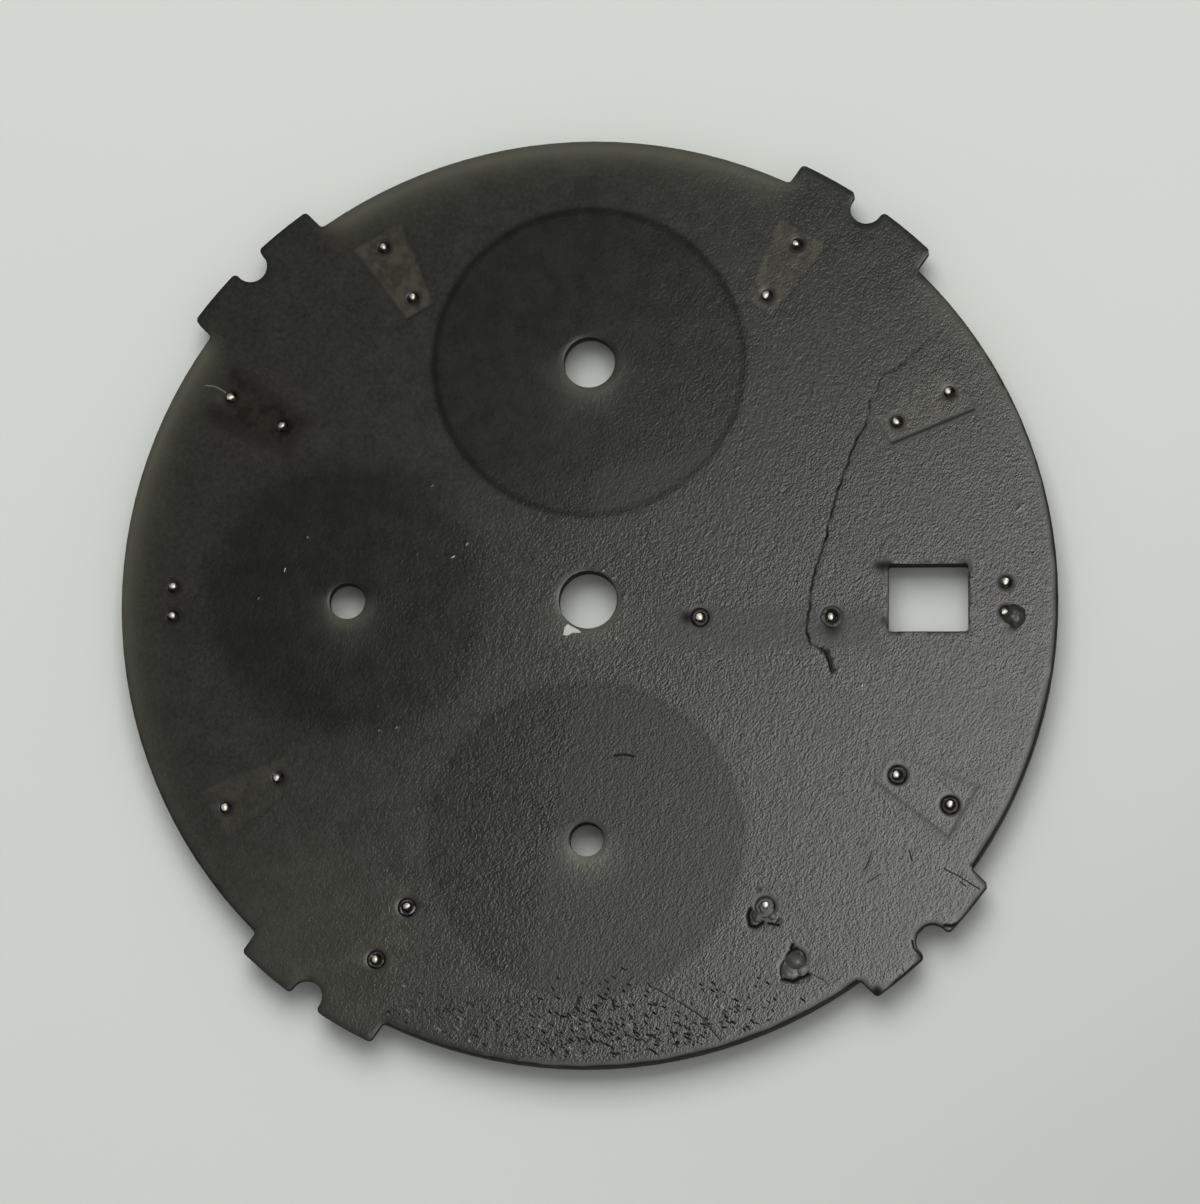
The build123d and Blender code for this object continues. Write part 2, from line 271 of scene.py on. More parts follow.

# Cracks, scratches and nicks: how dark (or light, below zero), how deep and how wide, and the route
# The dark colour of the cracks, scratches and pits is partly painted shade, which stands in for grooves that
# are shallow in the mesh
line_marks = (
    (1.00, 0.0015, 0.052, (
        (12.53, 9.64), (12.07, 9.28), (11.47, 8.75), (10.91, 8.25), (10.31, 7.9), (10.14, 7.4),
        (9.92, 6.93), (9.78, 6.18), (9.4, 5.54), (8.97, 4.36), (8.52, 2.9), (8.34, 1.98), (8.03, 1.16),
        (7.85, 0.27), (7.75, -0.65), (7.68, -1.18), (7.82, -1.6), (8.17, -1.79))),
    (0.95, 0.020, 0.036, ((8.3, -1.85), (8.45, -2.21), (8.55, -2.6))),
    (0.50, 0.030, 0.036, ((8.17, -1.79), (8.3, -1.85))),
    (0.80, 0.001, 0.022, ((12.48, -9.56), (13.1, -9.9), (13.73, -10.3))),
    (0.75, 0.001, 0.024, ((13.04, -10.02), (13.25, -10.19))),
    (0.65, 0.001, 0.022, ((9.94, -9.97), (10.29, -9.73))),
    (0.80, 0.001, 0.024, ((11.27, -8.92), (11.37, -9.28))),
    (0.60, 0.001, 0.020, ((9.98, -8.92), (9.85, -9.3), (9.67, -9.65))),
    (0.70, 0.001, 0.019, ((11.02, -13.05), (11.12, -13.26))),
    (0.80, 0.001, 0.022, ((2.25, -13.63), (3.1, -14.12))),
    (0.85, 0.001, 0.022, ((3.2, -14.17), (4, -14.68), (4.7, -15.55))),
    (0.60, 0.001, 0.019, ((7.87, -13.23), (8.09, -13.37), (8.27, -13.42), (8.43, -13.61))),
    (0.25, 0.001, 0.019, ((9.3, -8.6), (9.75, -8.75))),
    (0.30, 0.001, 0.019, ((12.2, -6.3), (12.9, -7))),
    (0.30, 0.001, 0.019, ((6.6, -1.95), (7.6, -2.1))),
    (0.14, 0.001, 0.019, ((-1.8, -9.1), (-4.6, -10.2))),
    (0.14, 0.001, 0.019, ((-5.3, -10.4), (-7.6, -11.6))),
    (0.80, 0.003, 0.050, ((0.96, -5.54), (1.3, -5.5), (1.66, -5.58))),
    (-0.75, -0.002, 0.017, ((-10.73, 1.06), (-10.69, 1.18))),
    (-0.75, -0.002, 0.017, ((-4.82, 1.52), (-4.71, 1.58))),
    (-0.65, -0.002, 0.013, ((-4.31, 1.96), (-4.26, 2.05))),
    (-0.55, -0.002, 0.013, ((-6.73, -4.55), (-6.68, -4.48))),
    (-0.55, -0.002, 0.013, ((-7.33, -4.63), (-7.29, -4.6))),
    (-0.35, -0.002, 0.013, ((-11.66, 0.07), (-11.62, 0.14))),
    (-0.40, -0.002, 0.013, ((-9.94, 2.26), (-9.91, 2.31))),
    (-1.00, -0.002, 0.014, ((9.63, -3.15), (9.65, -3.07))),
    (-0.60, -0.002, 0.013, ((9.46, -3.22), (9.5, -3.18))),
    (-0.80, -0.002, 0.017, ((0.53, 1), (0.57, 1.04))),
    (-0.40, -0.002, 0.017, ((0.85, 0.74), (0.89, 0.78))),
    (-0.45, -0.002, 0.013, ((1.26, 0.05), (1.31, 0.11))),
    (-0.70, -0.002, 0.015, ((1.01, -1.34), (1.02, -1.42))),
    (-0.45, -0.002, 0.013, ((1.39, -1.55), (1.42, -1.58))),
    (-0.30, -0.002, 0.013, ((15.01, 3.01), (15.29, 3.29))),
    (-0.30, -0.002, 0.013, ((-5.57, 4.07), (-5.48, 4.13))),
    (0.75, 0.002, 0.018, ((11.9, -1.235), (12.6, -1.25), (13.3, -1.225))),
    # The next six lines are dark crescents round the glue lumps at one o'clock, with shallow grooves; all but
    # the one starting at (7.22, -12.2) are painted shadows beside the lumps
    (1.00, 0.012, 0.075, ((5.75, -10.95), (5.66, -11.2), (5.73, -11.55), (5.96, -11.6), (6.2, -11.42))),
    (1.00, 0.010, 0.055, ((6.37, -11.47), (6.6, -11.5), (6.74, -11.53))),
    (0.90, 0.006, 0.030, ((6.74, -11.28), (6.62, -11.47))),
    (1.00, 0.010, 0.060, ((7.22, -12.2), (7.15, -12.36), (7.3, -12.5))),
    (0.80, 0.006, 0.030, ((6.93, -12.75), (6.8, -12.96), (6.78, -13.2), (6.86, -13.42))),
    (1.00, 0.012, 0.080, ((6.86, -13.42), (7.25, -13.5), (7.5, -13.36), (7.79, -13.24))),
    (0.22, 0.001, 0.150, ((-13.35, 6.5), (-12.5, 6.05), (-11.6, 5.6), (-10.65, 5.25))),
    (0.95, 0.004, 0.060, ((13.5, -9.5), (13.7, -9.74), (13.98, -10.02))),
    (0.95, 0.004, 0.060, ((12.5, -11.55), (12.75, -11.58), (12.98, -11.45))),
    (0.90, 0.003, 0.035, ((11.37, -12.08), (11.43, -12.35), (11.61, -12.56), (11.78, -12.77))),
    (0.80, 0.001, 0.025, ((10.46, -13.89), (10.95, -13.4), (11.43, -12.91))),
    (0.30, 0.001, 0.030, ((-6.8, -9.92), (-5.82, -9.5), (-4.95, -8.87))),
    (-0.25, -0.002, 0.018, ((-13.63, 7.77), (-13.25, 7.72), (-12.91, 7.52))),
)

# How the lines waver and fade, and how the points of the mesh follow them
crack_fade = 4.0
crack_start_share = 0.6
crack_shares = (0.75, 0.5)
crack_rate = 2.2
crack_waver = 0.07
scratch_waver = 0.015
most_scratch_points = 6
route_step = 0.05
wobble_rates = ((3, 1.0), (11, 0.5), (24, 0.5))
line_row_shares = (0, 0.75, 1.5)
line_end_share = 1.6
line_gap = 0.014
line_reach_share = 1.45
line_fall_power = 1.5

# Pits along the twelve o'clock rim: short dashes painted dark, partly as painted shade in pits that are
# barely cut into the surface, thicker towards the edge
pit_count = 380
pit_seed = 7
pit_darkness = (0.65, 1.25)
pit_depth_share = 0.0003
pit_widths = (0.026, 0.037)
pale_pit_share = 0.06
pale_pit_darkness = -0.2
pit_middle = (0.6, -15.35)
pit_spread = (4.8, 0.85)
pit_lengths = (0.05, 0.17)
pit_lean = radians(-38)
pit_lean_spread = radians(14)
pit_rim_radius = 16.2

# A pale chip beside the centre hole, the plaque, and a square that shows through at six o'clock
chip_outline = ((-0.70, -0.88), (-0.30, -1.09), (-0.23, -1.18), (-0.54, -1.18), (-0.70, -1.28),
                (-0.86, -1.26), (-0.80, -0.97), (-0.70, -0.88))
plaque_box = tuple(round(side / mm, 3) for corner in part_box("name_plaque") for side in corner[:2])
square_box = (-0.59, 14.36, 0.31, 15.26)
crisp_step = 0.06
chip_rows = (0.018,)
square_rows = (0.04,)
marker_side_rows = (0, 0.05, 0.1)
crisp_gap = 0.02
marker_row_gap = 0.035


def hour_direction(hour):
    """The unit direction of an hour and the one across it."""
    angle = radians(30 * hour - 90)
    return np.array((cos(angle), sin(angle))), np.array((-sin(angle), cos(angle)))


def marker_feet(hour):
    """Where the two feet of a marker come through the plate."""
    along, across = hour_direction(hour)
    if hour in long_markers:
        return [along * outer_foot_radius, along * inner_foot_radius]
    return [along * outer_foot_radius + across * side * short_foot_offset for side in (1, -1)]


# The feet, and the hours where the plastic flowed into the pockets round them
marker_hours = sorted([*long_markers, 3, 9])
marker_foot_places = np.array([foot for hour in marker_hours for foot in marker_feet(hour)])
feet = np.concatenate((marker_foot_places, plaque_foot_places))
tight_pocket_hours = (3, 4, 5, 7, 8, 9, 10)
tight_feet = [foot for hour in tight_pocket_hours for foot in marker_feet(hour)]


def marker_half(reach):
    """Half the width of a marker at a distance from the centre of the dial."""
    share = (reach - marker_inner_radius) / (marker_outer_radius - marker_inner_radius)
    return marker_inner_half + (marker_outer_half - marker_inner_half) * share


def walk(route, step, waver=0.0, seed=0):
    """Points at an even step along a route, the directions across it there, and how far along they are."""
    route = np.array(route, float)
    lengths = np.concatenate(([0], np.cumsum(np.hypot(*np.diff(route, axis=0).T))))
    places = np.linspace(0, lengths[-1], max(3, int(lengths[-1] / step) + 1))
    points = np.stack([np.interp(places, lengths, route[:, axis]) for axis in (0, 1)], axis=1)
    headings = np.gradient(points, axis=0)
    headings /= np.hypot(*headings.T)[:, None] + tiny
    sideways = np.stack((-headings[:, 1], headings[:, 0]), axis=1)
    wobble = [sum(size * noise.noise(Vector((place * rate, seed, rate))) for rate, size in wobble_rates)
              for place in places]
    return points + sideways * (np.array(wobble) * waver)[:, None], sideways, places


def wander(places, middle, swing):
    """A share that wanders about a middle from place to place."""
    return np.array([middle + swing * noise.noise(Vector(place)) for place in places])


# The frame's own plate without its back, with short edges there and the narrower pockets
plate = bmesh.new()
plate.from_mesh(frame["nodes"]["dial_plate"].data)
plate.transform(Matrix.Scale(1 / mm, 4))
bmesh.ops.remove_doubles(plate, verts=plate.verts, dist=merge_distance)
back_level = max(corner.co.z for corner in plate.verts)
face_level = min(corner.co.z for corner in plate.verts)
back_faces = [f for f in plate.faces if all(back_level - v.co.z < flat_tolerance for v in f.verts)]
bmesh.ops.delete(plate, geom=back_faces, context="FACES")
for cuts in range(1, most_cuts + 1):
    long_edges = [e for e in plate.edges if e.is_boundary and int(e.calc_length() / edge_step) == cuts]
    bmesh.ops.subdivide_edges(plate, edges=long_edges, cuts=cuts)
chamfer_radius = dial_radius - rim_chamfer
for corner in plate.verts:
    ring = corner.co.xy.length
    if corner.co.z > back_level - flat_tolerance and abs(ring - chamfer_radius) < ring_tolerance:
        corner.co.xy *= chamfer_radius / ring
bmesh.ops.triangulate(plate, faces=[f for f in plate.faces if len(f.verts) > 4])
plate.verts.index_update()
for foot in tight_feet:
    for corner in plate.verts:
        aside = corner.co.xy - Vector(foot)
        if pocket_radius - ring_tolerance < aside.length < pocket_radius + ring_tolerance:
            corner.co.xy = Vector(foot) + aside * (tight_pocket_radius / aside.length)
open_sides = [edge.link_loops[0] for edge in plate.edges if edge.is_boundary]
segments = np.array([(loop.link_loop_next.vert.index, loop.vert.index) for loop in open_sides])
wall_points = [tuple(v.co) for v in plate.verts]
wall_faces = [tuple(v.index for v in f.verts) for f in plate.faces]
plate.free()
outline = np.array(sorted(set(segments.ravel().tolist())))
flat_points = np.array(wall_points)[:, :2]
starts, ends = flat_points[segments[:, 0]], flat_points[segments[:, 1]]
edge_samples = np.concatenate([starts + (ends - starts) * share for share in (0, 0.25, 0.5, 0.75)])


def is_inside(points, loop_starts, loop_ends):
    """Which points an outline encloses: a line to their right crosses it an odd number of times."""
    crossings = np.zeros(len(points), int)
    for (x0, y0), (x1, y1) in zip(loop_starts, loop_ends):
        if y0 != y1:
            beside = (points[:, 1] < y0) != (points[:, 1] < y1)
            reach = x0 + (points[:, 1] - y0) * (x1 - x0) / (y1 - y0)
            crossings += beside & (points[:, 0] < reach)
    return crossings % 2 == 1


def nearest(points, targets):
    """The distance from each point to the nearest target, and that target's number."""
    tree_of_targets = kdtree.KDTree(len(targets))
    for number, target in enumerate(targets):
        tree_of_targets.insert((target[0], target[1], 0), number)
    tree_of_targets.balance()
    found = np.array([tree_of_targets.find((x, y, 0))[1:] for x, y in points])
    return found[:, 1], found[:, 0].astype(int)


def with_points(kept, candidates, gap):
    """The points kept before, and the candidates on the plate that are clear of them and of its edges."""
    candidates = np.array(candidates)
    fits = nearest(candidates, edge_samples)[0] > gap
    if len(kept):
        fits &= nearest(candidates, kept)[0] > gap
    candidates = candidates[fits]
    return np.concatenate((kept, candidates[is_inside(candidates, starts, ends)]))


# The cracks, scratches, nicks and pits as lines: how dark, how deep, how wide, and their points
rng = np.random.default_rng(pit_seed)
lines = []
for number, (tone, depth, width, route) in enumerate(line_marks):
    waver = crack_waver if len(route) > most_scratch_points else scratch_waver
    lines.append((tone, depth, width, *walk(route, route_step, waver, number)))
while len(lines) < len(line_marks) + pit_count:
    middle = np.array(pit_middle) + rng.normal(size=2) * pit_spread
    lean = pit_lean + rng.normal() * pit_lean_spread
    half = np.array((cos(lean), sin(lean))) * rng.uniform(*pit_lengths) / 2
    tone = rng.uniform(*pit_darkness) if rng.random() > pale_pit_share else pale_pit_darkness
    if np.hypot(*middle) < pit_rim_radius:
        dash = walk((middle - half, middle + half), route_step)
        lines.append((tone, pit_depth_share * tone, rng.uniform(*pit_widths), *dash))
line_points = np.concatenate([line[3] for line in lines])
line_sides = np.concatenate([line[4] for line in lines])
line_tone, line_depth, line_width = (
    np.concatenate([np.full(len(line[3]), line[value]) for line in lines]) for value in (0, 1, 2))
crack_places = lines[0][5]
crack_strength = np.clip(crack_start_share + crack_places / crack_fade, 0, 1)
crack_strength *= wander([(place * crack_rate, 3, 9) for place in crack_places], *crack_shares)
line_tone[:len(crack_places)] *= crack_strength
line_depth[:len(crack_places)] *= crack_strength
line_ends = []
for tone, depth, width, points, sideways, places in lines:
    for end, before in ((points[0], points[1]), (points[-1], points[-2])):
        line_ends.append(end + (end - before) / np.hypot(*(end - before)) * width * line_end_share)


def box_route(x0, y0, x1, y1):
    """The outline of an upright rectangle."""
    return ((x0, y0), (x1, y0), (x1, y1), (x0, y1), (x0, y0))


def marker_route(hour):
    """The outline of a long marker."""
    along, across = hour_direction(hour)
    ends_and_halves = ((marker_inner_radius, -marker_inner_half), (marker_outer_radius, -marker_outer_half),
                       (marker_outer_radius, marker_outer_half), (marker_inner_radius, marker_inner_half),
                       (marker_inner_radius, -marker_inner_half))
    return [along * reach + across * half for reach, half in ends_and_halves]


# The points of the back: along the marks, the crisp outlines, the pockets and the edges, then a grid
kept_points = np.zeros((0, 2))
for share in line_row_shares:
    for side in ((1, -1) if share else (1,)):
        row_points = line_points + line_sides * (line_width * share * side)[:, None]
        kept_points = with_points(kept_points, row_points, line_gap)
    if share == 0:
        kept_points = with_points(kept_points, line_ends, line_gap)
crisp_routes = [(chip_outline, chip_rows, crisp_gap), (box_route(*square_box), square_rows, crisp_gap)]
crisp_routes += [(marker_route(hour), marker_side_rows, marker_row_gap) for hour in long_markers]
for route, rows, gap in crisp_routes:
    points, sideways, places = walk(route, crisp_step)
    for row in rows:
        for side in ((1, -1) if row else (1,)):
            kept_points = with_points(kept_points, points + sideways * row * side, gap)
angles = np.arange(crater_steps) * 2 * pi / crater_steps
circle = np.stack((np.cos(angles), np.sin(angles)), axis=1)
for row in crater_rows:
    for foot in feet:
        kept_points = with_points(kept_points, foot + row * circle, crater_gap)
directions = ends - starts
inward = np.stack((-directions[:, 1], directions[:, 0]), axis=1) / (np.hypot(*directions.T)[:, None] + tiny)
for row in edge_rows:
    kept_points = with_points(kept_points, (starts + ends) / 2 + inward * row, row * edge_gap_share)
grid_rows = enumerate(np.arange(-grid_reach, grid_reach, grid_step * grid_row_share))
columns = np.arange(-grid_reach, grid_reach, grid_step)
grid = np.array([(x + (number % 2) * grid_step / 2, y) for number, y in grid_rows for x in columns])
grid += rng.uniform(-1, 1, grid.shape) * grid_step * grid_jitter_share
kept_points = with_points(kept_points, grid, grid_step * grid_gap_share)

outline_number = {int(index): number for number, index in enumerate(outline)}
net_points = np.concatenate((flat_points[outline], kept_points))
net_edges = [(outline_number[int(a)], outline_number[int(b)]) for a, b in segments]
net = delaunay_2d_cdt([Vector(point) for point in net_points.tolist()], net_edges, [], 0, net_tolerance)
net_places = np.array([tuple(place) for place in net[0]])
net_faces = np.array(net[2])
net_faces = net_faces[is_inside(net_places[net_faces].mean(axis=1), starts, ends)]


def ease(value, low, high):
    """A smooth step from zero to one between two values."""
    share = np.clip((value - low) / (high - low), 0, 1)
    return share * share * (3 - 2 * share)


def line_marks_at(points):
    """How much the cracks, scratches, nicks and pits darken or lighten each point, and how deep they are."""
    distance, number = nearest(points, line_points)
    fall = 1 - (distance / (line_reach_share * line_width[number])) ** 2
    fall = np.clip(fall, 0, 1) ** line_fall_power
    return line_tone[number] * fall, line_depth[number] * fall


edge_distance = nearest(net_places, edge_samples)[0]
edge_wear = wander([(x * edge_wear_rate, y * edge_wear_rate, 0) for x, y in net_places], *edge_wear_shares)
relief = -edge_drop * np.clip(1 - edge_distance / edge_round, 0, 1) ** 2 * edge_wear
relief -= line_marks_at(net_places)[1]

mesh_points = list(wall_points)
place_of = []
for number, sources in enumerate(net[3]):
    known = [source for source in sources if source < len(outline)]
    height = back_level + relief[number]
    if known:
        index = int(outline[known[0]])
        mesh_points[index] = (mesh_points[index][0], mesh_points[index][1], height)
    else:
        index = len(mesh_points)
        mesh_points.append((net_places[number][0], net_places[number][1], height))
    place_of.append(index)
place_of = np.array(place_of)
plate_mesh = bpy.data.meshes.new("dial_plate_moulding")
plate_mesh.from_pydata(mesh_points, [], wall_faces + place_of[net_faces].tolist())

# What shows through the plate, its stains, and its painted glow and shade, as values on the points of the
# mesh
back_band = (0.1, 0.05)
disc_shows = {"six": (0.25, 0.85), "nine": (0.8, 1.0), "twelve": (0.35, 0.9)}
marker_softness = 0.07
dark_marker_softness = 0.30
marker_edge_strength = 1.3
dark_marker_edge_share = 0.5
marker_edge_outside = 0.03
marker_edge_shares = (0.4, 0.6)
marker_shadow_side = (0.45, -0.9)
plaque_softness = 0.12
plaque_edge_strength = 0.12
plaque_stain = 0.16
square_softness = 0.1
square_stain = 0.55
foot_ring_darkness = 0.8
foot_ring_start = 0.2
foot_ring_reach = 0.09

# Soft spots: the middle, the reach and the strength of each; the one at (14.95, -1.02) is a painted shadow
# under the glue drop at three o'clock
stain_and_shadow_places = (
    ((-14.3, -0.5), 0.7, 0.4), ((10.38, 1.12), 0.20, 0.9), ((10.42, -0.8), 0.17, 0.6),
    ((13.2, 1.2), 0.22, 0.5), ((10.15, -13.9), 0.2, 1.3), ((-7.3, -15.32), 0.14, 0.9),
    ((-10.24, -13.66), 0.12, 0.9), ((-9.6, -13.43), 0.1, 0.8), ((8.6, -1.0), 0.35, 0.6),
    ((3.5, -0.66), 0.22, 0.8), ((12.44, -11.62), 0.12, 0.6), ((11.66, -12.6), 0.12, 0.6),
    ((6.08, -10.29), 0.09, 0.7), ((14.95, -1.02), 0.15, 1.0), ((7.33, -12.38), 0.11, 1.3),
    ((10.6, 1.2), 0.13, 0.6), ((10.15, 1.15), 0.15, 0.5),
)
rust_places = (
    ((13.1, 1.15), 0.35, 0.8), ((14.7, 0.0), 0.45, 0.5), ((-9.1, 13.2), 0.6, 0.35),
    ((-11.6, 6.4), 1.2, 0.35), ((7.1, 12.3), 0.7, 0.35), ((6.0, -11.1), 0.45, 0.3),
    ((7.1, -13.0), 0.5, 0.3), ((-14.5, 0.1), 0.6, 0.3), ((-12.3, 7.2), 0.8, 0.3),
)
# Two soft spots painted lighter: the middle, the reach and the strength of each
lighter_spots = (((-13.05, 7.3), 0.3, 0.35), ((-9.5, -12.3), 4.3, 0.27))

# The painted glow along the rim and beside the holes, and the mirror image of the panel
rim_glow = 2.2
rim_glow_reach = 0.42
rim_glow_heading = radians(112)
rim_glow_shares = (0.25, 0.8)
least_rim_glow = 0.04
dark_tab_headings = (radians(54), radians(135))
dark_tab_band = (radians(8), radians(13))
hole_glow_shares = (0.35, 0.75)
hole_glow_reach = 0.40
sheen_left = 0.2
sheen_slant = 0.16
sheen_top = 4.5
sheen_top_slant = 0.2
sheen_softness = 0.3

# The painted shade line along the edges, where the grain lies, and how much of it all is dulled
edge_line_reach = 0.05
edge_line_glow_share = 0.6
least_edge_line = 0.2
edge_line_shares = (0.75, 0.6)
edge_line_rate = 1.3
grain_shares = (0.35, 0.5, 0.3)
grain_rise_side = (0.9, -0.3)
grain_rise_band = (-9, 5)
grain_fall_band = (1.5, 6)
grain_edge_band = (0.05, 0.25)
least_grain = 0.15
edge_dulling = 1.3
disc_dulling = 0.15
disc_smoothing = 0.45
left_disc_band = (2.5, 5)

every_point = np.array(mesh_points)[:, :2]
on_back = ease(np.array(mesh_points)[:, 2], *(back_level - depth for depth in back_band))


def inside_box(points, x0, y0, x1, y1, softness):
    """One inside an upright rectangle, falling to nothing outside it, and a soft line along its sides."""
    x, y = points.T
    gaps = np.min((x - x0, x1 - x, y - y0, y1 - y), axis=0)
    return ease(gaps, -softness, softness), np.exp(-(gaps / softness) ** 2)


def distance_from(place):
    """How far each point of the mesh is from a place."""
    return np.hypot(*(every_point - np.array(place)).T)


def spots(places):
    """Soft round spots, each given by its middle, its reach and its strength."""
    return sum(strength * np.exp(-(distance_from(middle) / reach) ** 2) for middle, reach, strength in places)


def sheen_share(points):
    """How far each point lies within the mirror image of the panel, where a rougher spot looks darker."""
    left = sheen_left + sheen_slant * np.minimum(points[:, 1], 0)
    top = points[:, 1] - sheen_top_slant * points[:, 0]
    share = ease(points[:, 0] - left, -sheen_softness, sheen_softness)
    return share * (1 - ease(top, sheen_top - sheen_softness, sheen_top + sheen_softness))


def store(mesh, name, values):
    """Stores a value for each point of a mesh."""
    mesh.attributes.new(name, "FLOAT", "POINT").data.foreach_set("value", np.array(values, np.float32))


disc_shade = np.zeros(len(every_point))
for register, (softness, strength) in disc_shows.items():
    disc_radius = disc_radii[register]
    away = distance_from(holes[register][:2])
    shade = strength * (1 - ease(away, disc_radius - softness, disc_radius + softness))
    disc_shade = np.maximum(disc_shade, shade)

marker_show = np.zeros(len(every_point))
marker_outline_and_shadow = np.zeros(len(every_point))
# Each long marker shows as a body with a dark outline; the outline is painted darker on its side towards
# twelve and three o'clock, as a painted shadow
for hour, strength in long_markers.items():
    along, across = hour_direction(hour)
    reach, aside = every_point @ along, every_point @ across
    gaps = np.stack((reach - marker_inner_radius, marker_outer_radius - reach,
                     marker_half(reach) - aside, marker_half(reach) + aside))
    inside = gaps.min(axis=0)
    towards = np.array([side @ marker_shadow_side for side in (-along, along, across, -across)])
    towards = np.clip(towards[gaps.argmin(axis=0)], 0, 1)
    softness = marker_softness if strength > 0 else dark_marker_softness
    edge_strength = marker_edge_strength * (strength if strength > 0 else dark_marker_edge_share)
    edge_shape = np.exp(-((inside + marker_edge_outside) / softness) ** 2)
    marker_show += strength * ease(inside, -softness, softness)
    marker_outline_and_shadow += edge_strength * edge_shape * (marker_edge_shares[0] + marker_edge_shares[1] * towards)
plaque_body, plaque_edge = inside_box(every_point, *plaque_box, plaque_softness)
marker_outline_and_shadow += plaque_edge_strength * plaque_edge

stain_and_shadow = plaque_stain * plaque_body + square_stain * inside_box(every_point, *square_box, square_softness)[0]
stain_and_shadow += spots(stain_and_shadow_places)
# A dark ring is painted on the plate round each marker foot
foot_away = np.maximum(nearest(every_point, marker_foot_places)[0] - foot_ring_start, 0)
stain_and_shadow += foot_ring_darkness * np.exp(-(foot_away / foot_ring_reach) ** 2)
rust = spots(rust_places)

# Painted glow: the rim is painted lighter where window light would come through the plastic, most at six
# o'clock, and each hole is painted lighter on its twelve o'clock side
heading = np.arctan2(every_point[:, 1], every_point[:, 0])
rim_distance = np.abs(distance_from((0, 0)) - dial_radius)
facing = rim_glow_shares[0] + rim_glow_shares[1] * np.cos(heading - rim_glow_heading)
painted_glow = rim_glow * np.exp(-rim_distance / rim_glow_reach) * np.clip(facing, least_rim_glow, 1)
for dark_heading in dark_tab_headings:
    painted_glow *= ease(np.abs(heading - dark_heading), *dark_tab_band)
for x, y, hole_radius in holes.values():
    away = distance_from((x, y))
    below = np.clip(hole_glow_shares[0] - hole_glow_shares[1] * (every_point[:, 1] - y) / away, 0, 1)
    painted_glow = np.maximum(painted_glow, below * np.exp(-np.maximum(away - hole_radius, 0) / hole_glow_reach))
painted_glow += spots(lighter_spots)
chip_show = is_inside(every_point, chip_outline[:-1], chip_outline[1:]) * on_back

# Painted shade: a dark line along every edge of the back, weaker where the painted glow is, so darkest on the
# sides away from the window light
edge_away = nearest(every_point, edge_samples)[0]
edge_shade_line = np.exp(-(edge_away / edge_line_reach) ** 2)
edge_shade_line *= on_back * np.clip(1 - edge_line_glow_share * painted_glow, least_edge_line, 1)
edge_shade_line *= wander([(x * edge_line_rate, y * edge_line_rate, 4) for x, y in every_point], *edge_line_shares)
grain_base, grain_rise, grain_fall = grain_shares
grain_share = grain_base + grain_rise * ease(every_point @ grain_rise_side, *grain_rise_band)
grain_share -= grain_fall * ease(every_point[:, 1], *grain_fall_band)
grain_mask = on_back * ease(edge_away, *grain_edge_band) * np.clip(grain_share, least_grain, 1)

# Dulled spots look darker within the sheen and smoothed ones look darker beside it
mark = np.clip(line_marks_at(every_point)[0], -1, 1) * on_back
blotch = np.maximum(-marker_show, 0)
dark_parts = np.max((mark, stain_and_shadow, edge_dulling * edge_shade_line, marker_outline_and_shadow, blotch), axis=0)
dark_parts = np.clip(dark_parts, 0, 1)
in_sheen = sheen_share(every_point)
in_left_disc = disc_shade * ease(-every_point[:, 0], *left_disc_band)
dull = np.maximum(dark_parts, disc_dulling * disc_shade) * in_sheen
dull -= np.maximum(dark_parts, disc_smoothing * in_left_disc) * (1 - in_sheen)

stored_values = {"disc_shade": disc_shade, "marker_show": marker_show, "marker_outline_and_shadow": marker_outline_and_shadow,
                 "stain_and_shadow": np.clip(stain_and_shadow, 0, 1), "rust": rust, "mark": mark, "painted_glow": painted_glow, "chip": chip_show,
                 "edge_shade_line": edge_shade_line, "dull": dull, "grain_mask": grain_mask}
for name, values in stored_values.items():
    store(plate_mesh, name, values)


def start_growth(name, inputs):
    """A geometry node tree with named inputs, each with its type and value, and their outputs inside it."""
    tree = bpy.data.node_groups.new(name, "GeometryNodeTree")
    tree.interface.new_socket("Geometry", in_out="OUTPUT", socket_type="NodeSocketGeometry")
    tree.interface.new_socket("Geometry", in_out="INPUT", socket_type="NodeSocketGeometry")
    for socket, kind, value in inputs:
        tree.interface.new_socket(socket, in_out="INPUT", socket_type=kind).default_value = value
    return tree, add_node(tree, "NodeGroupInput").outputs


def named_value(tree, name):
    """A value that is stored on the points of the mesh, for a geometry node tree."""
    return add_node(tree, "GeometryNodeInputNamedAttribute", {"Name": name}, data_type="FLOAT").outputs[0]


def put_on_points(tree, points, instance, **inputs):
    """Instances of a shape on points."""
    inputs = {"Points": points, "Instance": instance, **inputs}
    return add_node(tree, "GeometryNodeInstanceOnPoints", inputs).outputs[0]


def shift(tree, geometry, offset):
    """A geometry with its points moved."""
    return add_node(tree, "GeometryNodeSetPosition", {"Geometry": geometry, "Offset": offset}).outputs[0]


def end_growth(tree, geometry, material):
    """Ends a geometry node tree: its instances made real, with a material on them."""
    real = add_node(tree, "GeometryNodeRealizeInstances", {0: geometry}).outputs[0]
    finished = add_node(tree, "GeometryNodeSetMaterial", {"Geometry": real, "Material": material}).outputs[0]
    add_node(tree, "NodeGroupOutput", {"Geometry": finished})


